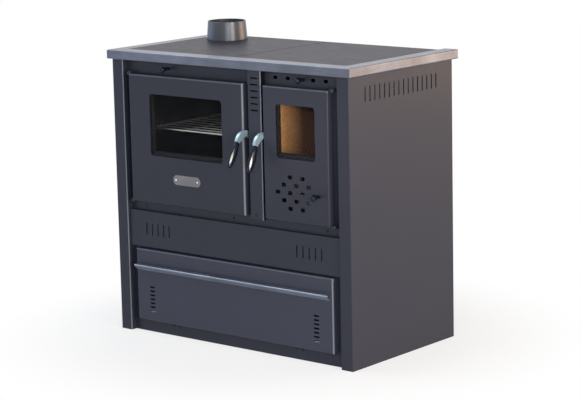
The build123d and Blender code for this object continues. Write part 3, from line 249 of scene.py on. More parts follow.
def brushed_metal(name, light, dark, roughness, along, streak_mm=1.4):
    """Brushed stainless steel: long fine scratches along one axis that break the reflection
    across them, with slow cloudy changes of tone."""
    material, tree, place = blank(name)
    squeeze = [1.0, 1.0, 1.0]
    squeeze["XYZ".index(along)] = 0.015
    lie = node(tree, "ShaderNodeMapping", {"Scale": squeeze}, {"Vector": place})
    # Real belt scratches are 0.1 mm apart and are drawn wider so that they show.
    scratch = node(
        tree, "ShaderNodeTexNoise", {"Scale": per_mm(streak_mm), "Detail": 4.0, "Roughness": 0.65},
        {"Vector": lie.outputs["Vector"]},
    )
    cloud = node(
        tree, "ShaderNodeTexNoise", {"Scale": per_mm(90.0), "Detail": 2.0}, {"Vector": place}
    )
    both = node(
        tree, "ShaderNodeMath",
        links={0: scratch.outputs["Fac"], 1: cloud.outputs["Fac"]}, operation="MULTIPLY",
    )
    spread = node(
        tree, "ShaderNodeMapRange", {"From Min": 0.12, "From Max": 0.42},
        {"Value": both.outputs["Value"]},
    )
    tint = node(
        tree, "ShaderNodeMix", {"A": dark, "B": light}, {"Factor": spread.outputs["Result"]},
        data_type="RGBA",
    )
    gloss = node(
        tree, "ShaderNodeMapRange",
        {**MOST_OF_NOISE, "To Min": roughness - 0.06, "To Max": roughness + 0.1},
        {"Value": scratch.outputs["Fac"]},
    )
    bump = node(
        tree, "ShaderNodeBump", {"Strength": 0.1, "Distance": 0.02 * MM},
        {"Height": scratch.outputs["Fac"]},
    )
    close(
        tree,
        {"Metallic": 1.0},
        {"Base Color": tint.outputs["Result"], "Roughness": gloss.outputs["Result"],
         "Normal": bump.outputs["Normal"]},
    )
    return material


def ground_plate(name, light, dark):
    """Hob plate of ground and blued steel: an even satin face with a faint cross grain and a
    few cloudy heat marks."""
    material, tree, place = blank(name)
    lie = node(tree, "ShaderNodeMapping", {"Scale": (0.05, 1.0, 1.0)}, {"Vector": place})
    # Grinding marks of 0.3 mm are drawn at 2.5 mm so that they show.
    grain = node(
        tree, "ShaderNodeTexNoise", {"Scale": per_mm(2.5), "Detail": 3.0},
        {"Vector": lie.outputs["Vector"]},
    )
    heat = node(
        tree, "ShaderNodeTexNoise", {"Scale": per_mm(140.0), "Detail": 3.0}, {"Vector": place}
    )
    tint = node(
        tree, "ShaderNodeMix", {"A": dark, "B": light}, {"Factor": heat.outputs["Fac"]},
        data_type="RGBA",
    )
    gloss = node(
        tree, "ShaderNodeMapRange", {**MOST_OF_NOISE, "To Min": 0.34, "To Max": 0.48},
        {"Value": grain.outputs["Fac"]},
    )
    bump = node(
        tree, "ShaderNodeBump", {"Strength": 0.08, "Distance": 0.03 * MM},
        {"Height": grain.outputs["Fac"]},
    )
    close(
        tree,
        {"Metallic": 0.1, "IOR": 1.5, "Specular IOR Level": 0.07},
        {"Base Color": tint.outputs["Result"], "Roughness": gloss.outputs["Result"],
         "Normal": bump.outputs["Normal"]},
    )
    return material


def bright_metal(name, colour, roughness, metallic=1.0):
    """Plated, satin or polished metal: a smooth skin with faint handling smears in its gloss.
    A lower metallic share stands for a metallic enamel or a plating dulled by heat."""
    material, tree, place = blank(name)
    smear = node(
        tree, "ShaderNodeTexNoise", {"Scale": per_mm(14.0), "Detail": 3.0}, {"Vector": place}
    )
    gloss = node(
        tree, "ShaderNodeMapRange",
        {"From Min": 0.35, "From Max": 0.7, "To Min": roughness, "To Max": roughness + 0.07},
        {"Value": smear.outputs["Fac"]},
    )
    close(tree, {"Base Color": colour, "Metallic": metallic}, {"Roughness": gloss.outputs["Result"]})
    return material


def phenolic(name, colour):
    """Moulded phenolic resin, polished: near black with a hard wet-looking gloss and slight
    fingerprints."""
    material, tree, place = blank(name)
    prints = node(
        tree, "ShaderNodeTexNoise", {"Scale": per_mm(6.0), "Detail": 2.0}, {"Vector": place}
    )
    gloss = node(
        tree, "ShaderNodeMapRange",
        {"From Min": 0.3, "From Max": 0.75, "To Min": 0.2, "To Max": 0.32},
        {"Value": prints.outputs["Fac"]},
    )
    close(
        tree, {"Base Color": colour, "IOR": 1.55, "Specular IOR Level": 0.16},
        {"Roughness": gloss.outputs["Result"]},
    )
    return material


def ceramic_glass(name, colour):
    """Heat-proof glass-ceramic pane: clear with a smoky tint, sharp reflections, slight haze."""
    material, tree, place = blank(name)
    haze = node(
        tree, "ShaderNodeTexNoise", {"Scale": per_mm(60.0), "Detail": 4.0}, {"Vector": place}
    )
    cover = node(
        tree, "ShaderNodeMapRange", {**MOST_OF_NOISE, "To Min": 0.1, "To Max": 0.16},
        {"Value": haze.outputs["Fac"]},
    )
    close(
        tree, {"Base Color": colour, "Roughness": 0.06, "IOR": 1.5, "Specular IOR Level": 0.22},
        {"Alpha": cover.outputs["Result"]},
    )
    return material


def vermiculite_board(name, light, dark):
    """Pressed vermiculite board: golden-brown flakes of 2 to 3 mm under pale dust, dull and
    slightly crumbly, with painted shade that deepens towards the back, and darker towards the top."""
    material, tree, place = blank(name)
    flake = node(tree, "ShaderNodeTexVoronoi", {"Scale": per_mm(2.5)}, {"Vector": place})
    patch = node(
        tree, "ShaderNodeTexNoise", {"Scale": per_mm(110.0), "Detail": 4.0}, {"Vector": place}
    )
    shade = node(tree, "ShaderNodeSeparateColor", links={"Color": flake.outputs["Color"]})
    blend = node(
        tree, "ShaderNodeMath",
        links={0: shade.outputs["Red"], 1: patch.outputs["Fac"]}, operation="MULTIPLY",
    )
    spread = node(
        tree, "ShaderNodeMapRange", {"From Min": -0.35, "From Max": 0.45},
        {"Value": blend.outputs["Value"]},
    )
    tint = node(
        tree, "ShaderNodeMix", {"A": dark, "B": light}, {"Factor": spread.outputs["Result"]},
        data_type="RGBA",
    )
    # Painted shade along the depth, and darker up the height: the larger of the two lays dark brown over
    # the board.
    axes = node(tree, "ShaderNodeSeparateXYZ", links={"Vector": place})
    deep = node(
        tree, "ShaderNodeMapRange", {"From Min": SHADE_DEPTH[0], "From Max": SHADE_DEPTH[1]},
        {"Value": axes.outputs["Y"]},
    )
    high = node(
        tree, "ShaderNodeMapRange", {"From Min": DARKER_HEIGHT[0], "From Max": DARKER_HEIGHT[1]},
        {"Value": axes.outputs["Z"]},
    )
    thick = node(
        tree, "ShaderNodeMath",
        links={0: deep.outputs["Result"], 1: high.outputs["Result"]}, operation="MAXIMUM",
    )
    darkening = node(
        tree, "ShaderNodeMath", {1: DARKENING_COVER}, {0: thick.outputs["Value"]}, operation="MULTIPLY"
    )
    darkened = node(
        tree, "ShaderNodeMix", {"B": linear("#3a1c12")},
        {"A": tint.outputs["Result"], "Factor": darkening.outputs["Value"]}, data_type="RGBA",
    )
    bump = node(
        tree, "ShaderNodeBump", {"Strength": 0.4, "Distance": 0.4 * MM},
        {"Height": flake.outputs["Distance"]},
    )
    close(
        tree, {"Roughness": 0.92},
        {"Base Color": darkened.outputs["Result"], "Normal": bump.outputs["Normal"]},
    )
    return material


def cast_iron(name, light, dark):
    """Sand-cast iron under stove black: a grainy dull skin with a soft sheen on its high spots."""
    material, tree, place = blank(name)
    sand = node(
        tree, "ShaderNodeTexNoise", {"Scale": per_mm(2.0), "Detail": 5.0, "Roughness": 0.6},
        {"Vector": place},
    )
    tint = node(
        tree, "ShaderNodeMix", {"A": dark, "B": light}, {"Factor": sand.outputs["Fac"]},
        data_type="RGBA",
    )
    bump = node(
        tree, "ShaderNodeBump", {"Strength": 0.35, "Distance": 0.2 * MM},
        {"Height": sand.outputs["Fac"]},
    )
    close(
        tree, {"Metallic": 0.3, "Roughness": 0.6},
        {"Base Color": tint.outputs["Result"], "Normal": bump.outputs["Normal"]},
    )
    return material


def glass_rope(name, light, dark):
    """Braided glass-fibre rope: strands crossing every 3 mm, dull and soft, pale grey when new
    and near black when it is dressed with graphite."""
    material, tree, place = blank(name)
    braid = node(
        tree, "ShaderNodeTexWave",
        {"Scale": per_mm(3.0) / (2 * math.pi), "Distortion": 1.5, "Detail": 2.0},
        {"Vector": place}, bands_direction="DIAGONAL",
    )
    tint = node(
        tree, "ShaderNodeMix", {"A": dark, "B": light}, {"Factor": braid.outputs["Fac"]},
        data_type="RGBA",
    )
    bump = node(
        tree, "ShaderNodeBump", {"Strength": 0.5, "Distance": 0.3 * MM},
        {"Height": braid.outputs["Fac"]},
    )
    close(
        tree, {"Roughness": 0.95},
        {"Base Color": tint.outputs["Result"], "Normal": bump.outputs["Normal"]},
    )
    return material


def make_finishes(looks):
    """Every finish in the colours of the property group: one for each of the record's slots,
    those that single pieces have instead, and one for each sheet with a painted highlight on its
    folds, under the piece's own name."""
    body = (*looks.body_colour, 1.0)
    # pale and pale_deep are the drawer front's coat, paler as a painted sheen of light.
    deep, pale, pale_deep = (
        (*(channel * share for channel in looks.body_colour), 1.0)
        for share in (DEEP_SHARE, DRAWER_SHEEN_SHARE, DRAWER_SHEEN_DEEP_SHARE)
    )
    steel = (*looks.steel_colour, 1.0)
    steel_dark = linear("#5d6069")
    finishes = {
        # Coated sheet: the satin body, and duller blacks near the fire.
        "body_paint": powder_enamel("anthracite_powder_coat", body, deep, COAT_ROUGHNESS),
        "soot_black": powder_enamel("sooted_sheet", linear("#0f0f11"), linear("#0a0a0c"), 0.7),
        "dark_paint": powder_enamel("black_stove_enamel", linear("#26272c"), linear("#1c1d21"), 0.6),
        "blackened_steel": powder_enamel(
            "blackened_steel", linear("#24252c"), linear("#1d1e24"), 0.32
        ),
        # Bare metal sheet and bar, brushed along each piece: bright where it is polished and
        # cloudy where it is left as rolled.
        "trim_steel": brushed_metal("brushed_stainless_trim", steel, steel_dark, 0.3, "X"),
        "trim_side": brushed_metal("brushed_stainless_side_trim", steel, steel_dark, 0.3, "Y"),
        "bar_steel": brushed_metal(
            "brushed_stainless_bar", linear("#9aa3b4"), linear("#7d8594"), 0.4, "X"
        ),
        "plate_satin": brushed_metal(
            "satin_aluminium", linear("#878689"), linear("#6d6c6f"), 0.35, "X"
        ),
        "raw_steel": brushed_metal(
            "mill_steel", linear("#7f8086"), linear("#5c5d63"), 0.48, "Z", streak_mm=4.0
        ),
        "oven_steel": brushed_metal(
            "oven_wall_steel", linear("#6d6d72"), linear("#4b4b50"), 0.34, "Y", streak_mm=3.0
        ),
        "hob_steel": ground_plate("ground_hob_steel", (*looks.hob_colour, 1.0), linear("#2a2931")),
        # Plated and cast metal, from a sharp mirror to a dull sheen.
        "zinc_steel": bright_metal("zinc_plated_steel", linear("#a3a6aa"), 0.36),
        "chrome": bright_metal("polished_chrome", linear("#d4dade"), 0.06),
        # The lever castings' pale blue tint is a painted reflection of blue sky on the satin chrome.
        "satin_chrome": bright_metal("satin_chromed_casting", linear("#9cb4c1"), 0.36, 0.6),
        "leaf_satin": bright_metal("satin_leaf_metal", linear("#8d8e8a"), 0.3),
        "nickel": bright_metal("dull_nickel_plate", linear("#d8d6d0"), 0.3),
        "collar_enamel": bright_metal("grey_metallic_enamel", linear("#4c4f57"), 0.28, 0.4),
        "iron": cast_iron("stove_blacked_iron", linear("#4a4b52"), linear("#2c2d31")),
        # What is not metal: resin, glass, fibre and board.
        "grip_black": phenolic("black_phenolic", (*looks.grip_colour, 1.0)),
        "glass_clear": ceramic_glass("glass_ceramic", linear("#14161a")),
        "rope": glass_rope("braided_glass_rope", linear("#b9b6ae"), linear("#7b7871")),
        "black_rope": glass_rope("graphited_flat_rope", linear("#2b2b2d"), linear("#161617")),
        "vermiculite": vermiculite_board(
            "pressed_vermiculite", (*looks.board_colour, 1.0), linear("#a8622f")
        ),
    }
    for name, width in PAINTED_HIGHLIGHT_FOLDS.items():
        low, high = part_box(name)
        inside = STILE_INSIDE if name == "centre_stile" else None
        # The drawer front's paler tones are a painted sheen of light.
        tones = (pale, pale_deep) if name == "drawer_front" else (body, deep)
        edges = (high.x - width, high.z - width, low.y + width)
        finishes[name] = powder_enamel(
            f"anthracite_coat_{name}", *tones, COAT_ROUGHNESS, inside, edges
        )
    return finishes


# ---------------------------------------------------------------- surfaces
WELD = 0.001 * MM


def put_in_scene(name, data):
    """Makes an object of a mesh, lamp or camera and links it to the scene."""
    made = bpy.data.objects.new(name, data)
    bpy.context.scene.collection.objects.link(made)
    return made


def grid_mesh(name, points, wrap, ends):
    """Joins a rows by columns grid of points with four-sided faces, wrapping round its columns
    when asked, and fills both end rows with one face each when asked. Points that fall together,
    as at a seam or a pole, are welded."""
    rows, columns = points.shape[:2]
    index = np.arange(rows * columns).reshape(rows, columns)
    following = np.roll(index, -1, axis=1) if wrap else index[:, 1:]
    here = index if wrap else index[:, :-1]
    faces = np.stack([here[:-1], following[:-1], following[1:], here[1:]], -1).reshape(-1, 4).tolist()
    if ends:
        faces += [index[0][::-1].tolist(), index[-1].tolist()]
    mesh = bpy.data.meshes.new(name)
    mesh.from_pydata(points.reshape(-1, 3).tolist(), [], faces)
    work = bmesh.new()
    work.from_mesh(mesh)
    bmesh.ops.remove_doubles(work, verts=work.verts, dist=WELD)
    bmesh.ops.recalc_face_normals(work, faces=work.faces)
    work.to_mesh(mesh)
    work.free()
    mesh.shade_smooth()
    return put_in_scene(name, mesh)


def finish_piece(piece, material, body, stood_for):
    """Gives a new piece its material and body, and lets it stand for a CAD node."""
    piece.data.materials.append(material)
    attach(piece, body)
    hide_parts(stood_for)


# ---------------------------------------------------------------- the grips
# The grip's half sizes at shares of its length, and how its ends are rounded: along a twentieth
# of the length, from a part of its full size.
GRIP_SHARES = np.array([0.0, 0.2, 0.5, 0.8, 1.0])
GRIP_HALF_WIDTHS = np.array([6.6, 9.2, 10.4, 8.8, 5.8]) * MM
GRIP_HALF_DEPTHS = np.array([6.6, 9.6, 12.0, 9.8, 5.8]) * MM
GRIP_END_ROUND = 0.05
GRIP_END_SIZE = 0.72
# Points along which the half sizes are worked out, and how many are averaged into one.
GRIP_STATIONS = 201
GRIP_SMOOTHING = 21
# The grip's root from the lever's pivot, outwards and upwards, its length and its lean.
GRIP_ROOT = (37.7 * MM, -25.0 * MM)
GRIP_LENGTH = 77.0 * MM
GRIP_LEAN = math.radians(21.9)
GRIP_RINGS = 64
GRIP_SIDES = 48
# How far each lever is turned up at rest.
LIFTS = {"oven": math.radians(8.0), "firebox": 0.0}
# The leaf: turned from the grip's front towards the right, between two shares of its length.
# Above 1, its fullness moves its widest place down the grip. It stands proud by a quarter of
# its height at the rim, and the slope is how soon the full height is reached.
INLAY_TURN = math.radians(36.0)
INLAY_SHARES = (0.2, 0.94)
INLAY_FULLNESS = 1.8
INLAY_PROUD = 0.6 * MM
INLAY_RIM = 0.25
INLAY_SLOPE = 2.4
INLAY_GRID = (48, 17)


def lever_place(lever):
    """The pivot of a lever, from its CAD pin, and the two directions of its plane: towards the
    user and upwards, both turned about the pivot by the lift at rest."""
    low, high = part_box(f"{lever}_lever")
    pin_low, pin_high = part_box(f"{lever}_lever_pin")
    middle = (pin_low + pin_high) / 2
    turn = LIFTS[lever]
    pivot = np.array([(low.x + high.x) / 2, middle.y, middle.z])
    outwards = np.array([0.0, -math.cos(turn), math.sin(turn)])
    upwards = np.array([0.0, math.sin(turn), math.cos(turn)])
    return pivot, outwards, upwards


def grip_frame(lever):
    """The grip's root point, its axis down the grip and its forward direction."""
    pivot, outwards, upwards = lever_place(lever)
    root = pivot + GRIP_ROOT[0] * outwards + GRIP_ROOT[1] * upwards
    axis = math.sin(GRIP_LEAN) * outwards - math.cos(GRIP_LEAN) * upwards
    forward = math.cos(GRIP_LEAN) * outwards + math.sin(GRIP_LEAN) * upwards
    return root, axis, forward


def grip_radii(share):
    """Half width and half depth of the grip at a share of its length: straight lines between its
    given half sizes, smoothed by a moving average. Towards each end both grow from a part of
    themselves to the whole along a quarter circle."""
    fine = np.linspace(0, 1, GRIP_STATIONS)
    soft = np.ones(GRIP_SMOOTHING) / GRIP_SMOOTHING
    radii = []
    for values in (GRIP_HALF_WIDTHS, GRIP_HALF_DEPTHS):
        raw = np.interp(fine, GRIP_SHARES, values)
        padded = np.pad(raw, GRIP_SMOOTHING // 2, mode="edge")
        radii.append(np.interp(share, fine, np.convolve(padded, soft, mode="valid")))
    near_end = np.clip(np.minimum(share, 1 - share) / GRIP_END_ROUND, 0, 1)
    cap = GRIP_END_SIZE + (1 - GRIP_END_SIZE) * np.sqrt(1 - (1 - near_end) ** 2)
    return radii[0] * cap, radii[1] * cap


def grip_surface(lever, angle, share, proud):
    """Point on the grip: along the axis by the share of its length, and round an ellipse by the
    angle, 0 facing the user, pushed out by a distance."""
    root, axis, forward = grip_frame(lever)
    half_width, half_depth = grip_radii(share)
    sideways = np.array([1.0, 0.0, 0.0])
    along = root + (share * GRIP_LENGTH)[..., None] * axis
    out = ((half_depth + proud) * np.cos(angle))[..., None] * forward
    return along + out + ((half_width + proud) * np.sin(angle))[..., None] * sideways


def make_grip(lever):
    """Closed tube: rings of the grip's ellipse from its root to its end."""
    share, angle = np.meshgrid(
        np.linspace(0, 1, GRIP_RINGS), np.linspace(0, 2 * math.pi, GRIP_SIDES + 1)[:-1],
        indexing="ij",
    )
    points = grip_surface(lever, angle, share, np.zeros_like(share))
    return grid_mesh(f"{lever}_grip_smooth", points, True, True)


def make_inlay(lever, size):
    """Leaf on the grip, turned from its front: its half angle follows a half sine that is fullest
    past its middle, and its skin rises from the rim to its full height in the middle, by one less
    the square of the way across, times the half sine."""
    share, across = np.meshgrid(
        np.linspace(*INLAY_SHARES, INLAY_GRID[0]), np.linspace(-1, 1, INLAY_GRID[1]), indexing="ij"
    )
    along = (share - INLAY_SHARES[0]) / (INLAY_SHARES[1] - INLAY_SHARES[0])
    leaf = np.sin(math.pi * along ** INLAY_FULLNESS)
    angle = INLAY_TURN + across * leaf * size
    rise = np.clip((1 - across ** 2) * leaf * INLAY_SLOPE, 0, 1)
    proud = INLAY_PROUD * (INLAY_RIM + (1 - INLAY_RIM) * rise)
    return grid_mesh(f"{lever}_inlay_leaf", grip_surface(lever, angle, share, proud), False, False)


# ---------------------------------------------------------------- the rope seals
ROPE_CORNER = 14.0 * MM
ROPE_CORNER_POINTS = 10
# Every second ring of the rope is smaller by this share, and the rings are one strand apart.
ROPE_RIPPLE = 0.12
ROPE_STRAND = 3.0 * MM
ROPE_SIDES = 16


def make_rope(door, rope_radius):
    """Rope seal: a round section carried round a rounded rectangle in the middle of the CAD seal,
    with its radius rippling by a cosine over two strands, and flattened to the seal's thickness."""
    low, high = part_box(f"{door}_door_seal")
    middle = (low + high) / 2
    half_x = (high.x - low.x) / 2 - rope_radius
    half_thick = (high.y - low.y) / 2
    half_z = (high.z - low.z) / 2 - rope_radius
    quarter = np.linspace(0, math.pi / 2, ROPE_CORNER_POINTS)
    line = []
    for turn, (sx, sz) in enumerate(((1, 1), (-1, 1), (-1, -1), (1, -1))):
        centre = np.array([sx * (half_x - ROPE_CORNER), sz * (half_z - ROPE_CORNER)])
        angle = quarter + turn * math.pi / 2
        line.append(centre + ROPE_CORNER * np.stack([np.cos(angle), np.sin(angle)], -1))
    knots = np.concatenate(line + [line[0][:1]])
    length = np.concatenate([[0], np.cumsum(np.linalg.norm(np.diff(knots, axis=0), axis=1))])
    count = int(length[-1] / ROPE_STRAND)
    where = np.linspace(0, length[-1], count, endpoint=False)
    flat = np.stack([np.interp(where, length, knots[:, axis]) for axis in (0, 1)], -1)
    ahead = np.roll(flat, -1, axis=0) - np.roll(flat, 1, axis=0)
    ahead /= np.linalg.norm(ahead, axis=1, keepdims=True)
    outward = np.stack([ahead[:, 1], -ahead[:, 0]], -1)
    angle = np.linspace(0, 2 * math.pi, ROPE_SIDES + 1)[:-1]
    ripple = 1 - ROPE_RIPPLE * (1 + np.cos(math.pi * np.arange(count)[:, None])) / 2
    across = rope_radius * ripple * np.cos(angle)
    x = middle.x + flat[:, :1] + outward[:, :1] * across
    y = middle.y + half_thick * ripple * np.sin(angle)
    z = middle.z + flat[:, 1:] + outward[:, 1:] * across
    rings = np.stack([x, y, z], -1)
    return grid_mesh(f"{door}_rope", np.concatenate([rings, rings[:1]]), True, False)


# ---------------------------------------------------------------- settings and operators
class CookstoveLooks(bpy.types.PropertyGroup):
    """Colours and small sizes that a user would change."""

    body_colour: bpy.props.FloatVectorProperty(
        name="Body paint", description="Powder coat of the panels and doors", subtype="COLOR",
        size=3, min=0, max=1, default=linear("#2f313c")[:3],
    )
    steel_colour: bpy.props.FloatVectorProperty(
        name="Trim steel", description="Worktop trim", subtype="COLOR",
        size=3, min=0, max=1, default=linear("#757a89")[:3],
    )
    hob_colour: bpy.props.FloatVectorProperty(
        name="Hob steel", description="Hob plates", subtype="COLOR",
        size=3, min=0, max=1, default=linear("#33323b")[:3],
    )
    board_colour: bpy.props.FloatVectorProperty(
        name="Firebox board", description="Pressed board that lines the firebox", subtype="COLOR",
        size=3, min=0, max=1, default=linear("#f6b870")[:3],
    )
    grip_colour: bpy.props.FloatVectorProperty(
        name="Grips", description="Moulded grips and knobs", subtype="COLOR",
        size=3, min=0, max=1, default=linear("#0d1421")[:3],
    )
    inlay_angle: bpy.props.FloatProperty(
        name="Inlay half angle", description="How far the bright leaf wraps round the grip",
        subtype="ANGLE", min=0.1, max=1.4, default=0.34,
    )
    rope_radius: bpy.props.FloatProperty(
        name="Rope radius", description="Half the width of the door seals' rope", unit="LENGTH",
        min=0.001, max=0.01, default=0.004,
    )


class CookstoveStage(bpy.types.PropertyGroup):
    """Studio settings."""

    floor_colour: bpy.props.FloatVectorProperty(
        name="Floor", description="Floor where the stove stands", subtype="COLOR",
        size=3, min=0, max=1, default=linear("#f2f2f2")[:3],
    )
    key_power: bpy.props.FloatProperty(
        name="Key lamp", description="Warm lamp on the right", unit="POWER", min=0, default=112.0,
    )
    front_power: bpy.props.FloatProperty(
        name="Front lamp", description="Cool lamp by the camera", unit="POWER", min=0, default=38.0,
    )
    rear_right_power: bpy.props.FloatProperty(
        name="Rear right lamp", description="Warm lamp behind, on the right", unit="POWER", min=0,
        default=88.0,
    )
    rear_left_power: bpy.props.FloatProperty(
        name="Rear left lamp", description="Broad lamp behind, on the left", unit="POWER", min=0,
        default=11.0,
    )
    top_power: bpy.props.FloatProperty(
        name="Top lamp", description="Lamp over the stove", unit="POWER", min=0, default=45.0,
    )
    fold_power: bpy.props.FloatProperty(
        name="Fold lamp", description="Narrow lamp that the upright folds show", unit="POWER", min=0,
        default=45.0,
    )
    left_power: bpy.props.FloatProperty(
        name="Left lamp", description="Blue lamp on the left", unit="POWER", min=0, default=16.0,
    )
    snoot_power: bpy.props.FloatProperty(
        name="Window lamp", description="Narrow lamp on the firebox window", unit="POWER", min=0,
        default=900.0,
    )


# Filled by the finishing operator, and read by those that make new pieces.
FINISHES = {}
# Pieces whose finish differs from the rest of their slot: the side trims are brushed the other
# way, the drawer bar is paler, the collar is enamelled, the slide plates are near black as painted
# shade behind the air holes, the glasses lie in graphited rope, and the lever castings are satin.
SPECIAL_FINISHES = {
    "trim_left": "trim_side",
    "trim_right": "trim_side",
    "drawer_bar": "bar_steel",
    "flue_collar": "collar_enamel",
    "air_slider": "soot_black",
    "header_slider": "soot_black",
    "oven_glass_gasket": "black_rope",
    "firebox_glass_gasket": "black_rope",
    "oven_lever": "satin_chrome",
    "firebox_lever": "satin_chrome",
}


class COOKSTOVE_OT_finishes(bpy.types.Operator):
    """Give every CAD piece its own finish, or else that of its slot"""

    bl_idname = "cookstove.finishes"
    bl_label = "Finish the CAD pieces"

    def execute(self, context):
        FINISHES.update(make_finishes(context.scene.cookstove_looks))
        for name, piece in CAD_NODES.items():
            finish = name if name in PAINTED_HIGHLIGHT_FOLDS else SPECIAL_FINISHES.get(name, SLOT_OF[name])
            piece.data.materials.clear()
            piece.data.materials.append(FINISHES[finish])
        return {"FINISHED"}


class COOKSTOVE_OT_grips(bpy.types.Operator):
    """Make the two moulded grips"""

    bl_idname = "cookstove.grips"
    bl_label = "Lever grips"

    def execute(self, context):
        for lever in DOORS:
            grip = make_grip(lever)
            finish_piece(
                grip, FINISHES["grip_black"], f"{lever}_handle", f"{lever}_lever_grip"
            )
        return {"FINISHED"}


class COOKSTOVE_OT_inlays(bpy.types.Operator):
    """Make the bright leaves on the grips"""

    bl_idname = "cookstove.inlays"
    bl_label = "Grip inlays"

    def execute(self, context):
        for lever in DOORS:
            leaf = make_inlay(lever, context.scene.cookstove_looks.inlay_angle)
            finish_piece(
                leaf, FINISHES["leaf_satin"], f"{lever}_handle", f"{lever}_lever_inlay"
            )
        return {"FINISHED"}


class COOKSTOVE_OT_ropes(bpy.types.Operator):
    """Make the rope seals behind the doors"""

    bl_idname = "cookstove.ropes"
    bl_label = "Rope seals"

    def execute(self, context):
        for door in DOORS:
            rope = make_rope(door, context.scene.cookstove_looks.rope_radius)
            finish_piece(rope, FINISHES["rope"], f"{door}_door", f"{door}_door_seal")
        return {"FINISHED"}


def aim(thing, place, target):
    """Puts a lamp at a place, looking at a target."""
    thing.location = place
    thing.rotation_euler = (Vector(target) - Vector(place)).to_track_quat("-Z", "Y").to_euler()


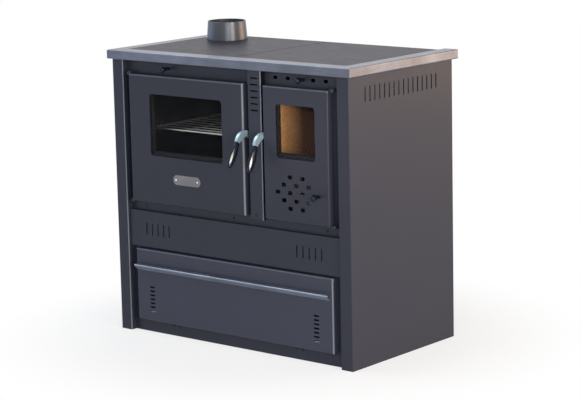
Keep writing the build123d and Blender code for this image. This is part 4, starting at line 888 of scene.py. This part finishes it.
class COOKSTOVE_OT_stage(bpy.types.Operator):
    """Set up floor, lamps, world and camera"""

    bl_idname = "cookstove.stage"
    bl_label = "Studio"

    def execute(self, context):
        scene = context.scene
        setup = scene.cookstove_stage
        self.floor(setup)
        self.snoot(setup)
        self.soft_boxes(setup)
        self.world(scene)
        self.camera(scene)
        scene.view_settings.view_transform = "Standard"
        return {"FINISHED"}

    def floor(self, setup):
        """Pale floor: shaded where the object stands, and fading to plain white further out."""
        material, tree, place = blank("pale_floor")
        matte = node(
            tree, "ShaderNodeBsdfPrincipled",
            {"Base Color": (*setup.floor_colour, 1.0), "Roughness": 0.9},
        )
        white = node(tree, "ShaderNodeEmission", {"Color": WHITE, "Strength": 1.0})
        away = node(tree, "ShaderNodeVectorMath", links={0: place}, operation="LENGTH")
        fade = node(
            tree, "ShaderNodeMapRange",
            {"From Min": FLOOR_FADE[0], "From Max": FLOOR_FADE[1], "To Min": FLOOR_LIFT},
            {"Value": away.outputs["Value"]}, interpolation_type="SMOOTHSTEP",
        )
        seen = node(
            tree, "ShaderNodeMath", links={0: fade.outputs["Result"], 1: shown(tree)},
            operation="MULTIPLY",
        )
        pick = node(
            tree, "ShaderNodeMixShader",
            links={"Fac": seen.outputs["Value"], 1: matte.outputs["BSDF"], 2: white.outputs["Emission"]},
        )
        node(tree, "ShaderNodeOutputMaterial", links={"Surface": pick.outputs["Shader"]})
        mesh = bpy.data.meshes.new("studio_floor")
        corners = [(x * FLOOR_HALF, y * FLOOR_HALF, 0) for x, y in ((-1, -1), (1, -1), (1, 1), (-1, 1))]
        mesh.from_pydata(corners, [], [(0, 1, 2, 3)])
        mesh.materials.append(material)
        put_in_scene("studio_floor", mesh)

    def snoot(self, setup):
        """Narrow lamp by the camera that reaches the boards through the firebox window."""
        lamp = bpy.data.lights.new("window_snoot", "SPOT")
        lamp.energy = setup.snoot_power
        lamp.color = SNOOT_TINT
        lamp.spot_size = SNOOT_SPREAD
        lamp.spot_blend = SNOOT_SOFT_RIM
        lamp.shadow_soft_size = SNOOT_RADIUS
        made = put_in_scene("window_snoot", lamp)
        low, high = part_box("firebox_glass")
        aim(made, SNOOT_PLACE, (low + high) / 2)

    def soft_boxes(self, setup):
        """Soft boxes: a warm key on the right, a small cool one by the camera, a warm one behind
        right, a broad one behind left that the hob and the worktop trim show, one above on the left
        for the upper edges, a narrow low one in front for the upright folds, and a weak blue one on
        the left for the round pieces. Each has its name, power, tint, place, width and height."""
        boxes = (
            ("key_box", setup.key_power, (1.0, 0.82, 0.66), (4.0, -1.15, 1.2), 1.3, 2.0),
            ("front_box", setup.front_power, (0.86, 0.92, 1.0), (2.9, -3.6, 1.9), 1.4, 1.4),
            ("rear_right_box", setup.rear_right_power, (1.0, 0.67, 0.4), (2.8, 3.4, 1.2), 2.4, 1.8),
            ("rear_left_box", setup.rear_left_power, (0.88, 0.84, 1.0), (-2.2, 3.4, 3.2), 3.0, 1.6),
            ("top_box", setup.top_power, (0.86, 0.93, 1.0), (-2.1, -0.9, 3.4), 1.8, 1.8),
            ("fold_box", setup.fold_power, (0.94, 0.97, 1.0), (3.2, -2.7, 0.55), 0.5, 1.0),
            ("left_box", setup.left_power, (0.3, 0.55, 1.0), (-3.6, -1.6, 1.0), 2.2, 1.6),
        )
        for name, power, tint, place, width, height in boxes:
            lamp = bpy.data.lights.new(name, "AREA")
            lamp.shape = "RECTANGLE"
            lamp.size = width
            lamp.size_y = height
            lamp.energy = power
            lamp.color = tint
            made = put_in_scene(name, lamp)
            aim(made, place, LAMP_TARGET)

    def world(self, scene):
        """Plain world: dim for the object, white to the camera and in reflections."""
        world = bpy.data.worlds.new("studio_world")
        scene.world = world
        world.use_nodes = True
        tree = world.node_tree
        tree.nodes.clear()
        dim = node(tree, "ShaderNodeBackground", {"Color": WORLD_TINT, "Strength": WORLD_STRENGTH})
        white = node(tree, "ShaderNodeBackground", {"Color": WHITE, "Strength": 1.0})
        pick = node(
            tree, "ShaderNodeMixShader",
            links={"Fac": shown(tree), 1: dim.outputs["Background"], 2: white.outputs["Background"]},
        )
        node(tree, "ShaderNodeOutputWorld", links={"Surface": pick.outputs["Shader"]})

    def camera(self, scene):
        """Camera turned by its azimuth, elevation and roll, with its lens from the picture's width."""
        data = bpy.data.cameras.new("studio_camera")
        data.sensor_width = SENSOR_WIDTH
        data.lens = CAMERA_FOCAL_PIXELS / PICTURE_WIDTH * SENSOR_WIDTH
        data.clip_end = CAMERA_REACH
        back = Vector((
            math.sin(CAMERA_AZIMUTH) * math.cos(CAMERA_ELEVATION),
            -math.cos(CAMERA_AZIMUTH) * math.cos(CAMERA_ELEVATION),
            math.sin(CAMERA_ELEVATION),
        ))
        right = Vector((math.cos(CAMERA_AZIMUTH), math.sin(CAMERA_AZIMUTH), 0.0))
        up = back.cross(right)
        cosine, sine = math.cos(CAMERA_ROLL), math.sin(CAMERA_ROLL)
        turned_right = cosine * right + sine * up
        turned_up = -sine * right + cosine * up
        turn = Matrix((turned_right, turned_up, back)).transposed().to_4x4()
        made = put_in_scene("studio_camera", data)
        made.matrix_world = Matrix.Translation(CAMERA_PLACE) @ turn
        scene.camera = made


class COOKSTOVE_PT_panel(bpy.types.Panel):
    """Cookstove panel in the sidebar"""

    bl_idname = "COOKSTOVE_PT_panel"
    bl_label = "Wood cookstove"
    bl_space_type = "VIEW_3D"
    bl_region_type = "UI"
    bl_category = "Cookstove"

    def draw(self, context):
        for group in (context.scene.cookstove_looks, context.scene.cookstove_stage):
            for name in group.bl_rna.properties.keys():
                if name not in ("rna_type", "name"):
                    self.layout.prop(group, name)
        for operator in STEPS:
            self.layout.operator(operator.bl_idname)


STEPS = (
    COOKSTOVE_OT_finishes,
    COOKSTOVE_OT_grips,
    COOKSTOVE_OT_inlays,
    COOKSTOVE_OT_ropes,
    COOKSTOVE_OT_stage,
)
CLASSES = (CookstoveLooks, CookstoveStage, *STEPS, COOKSTOVE_PT_panel)


def register():
    for made in CLASSES:
        bpy.utils.register_class(made)
    bpy.types.Scene.cookstove_looks = bpy.props.PointerProperty(type=CookstoveLooks)
    bpy.types.Scene.cookstove_stage = bpy.props.PointerProperty(type=CookstoveStage)


def unregister():
    del bpy.types.Scene.cookstove_stage
    del bpy.types.Scene.cookstove_looks
    for made in reversed(CLASSES):
        bpy.utils.unregister_class(made)


def main():
    register()
    for step in STEPS:
        group, action = step.bl_idname.split(".")
        getattr(getattr(bpy.ops, group), action)()


if __name__ == "__main__":
    main()
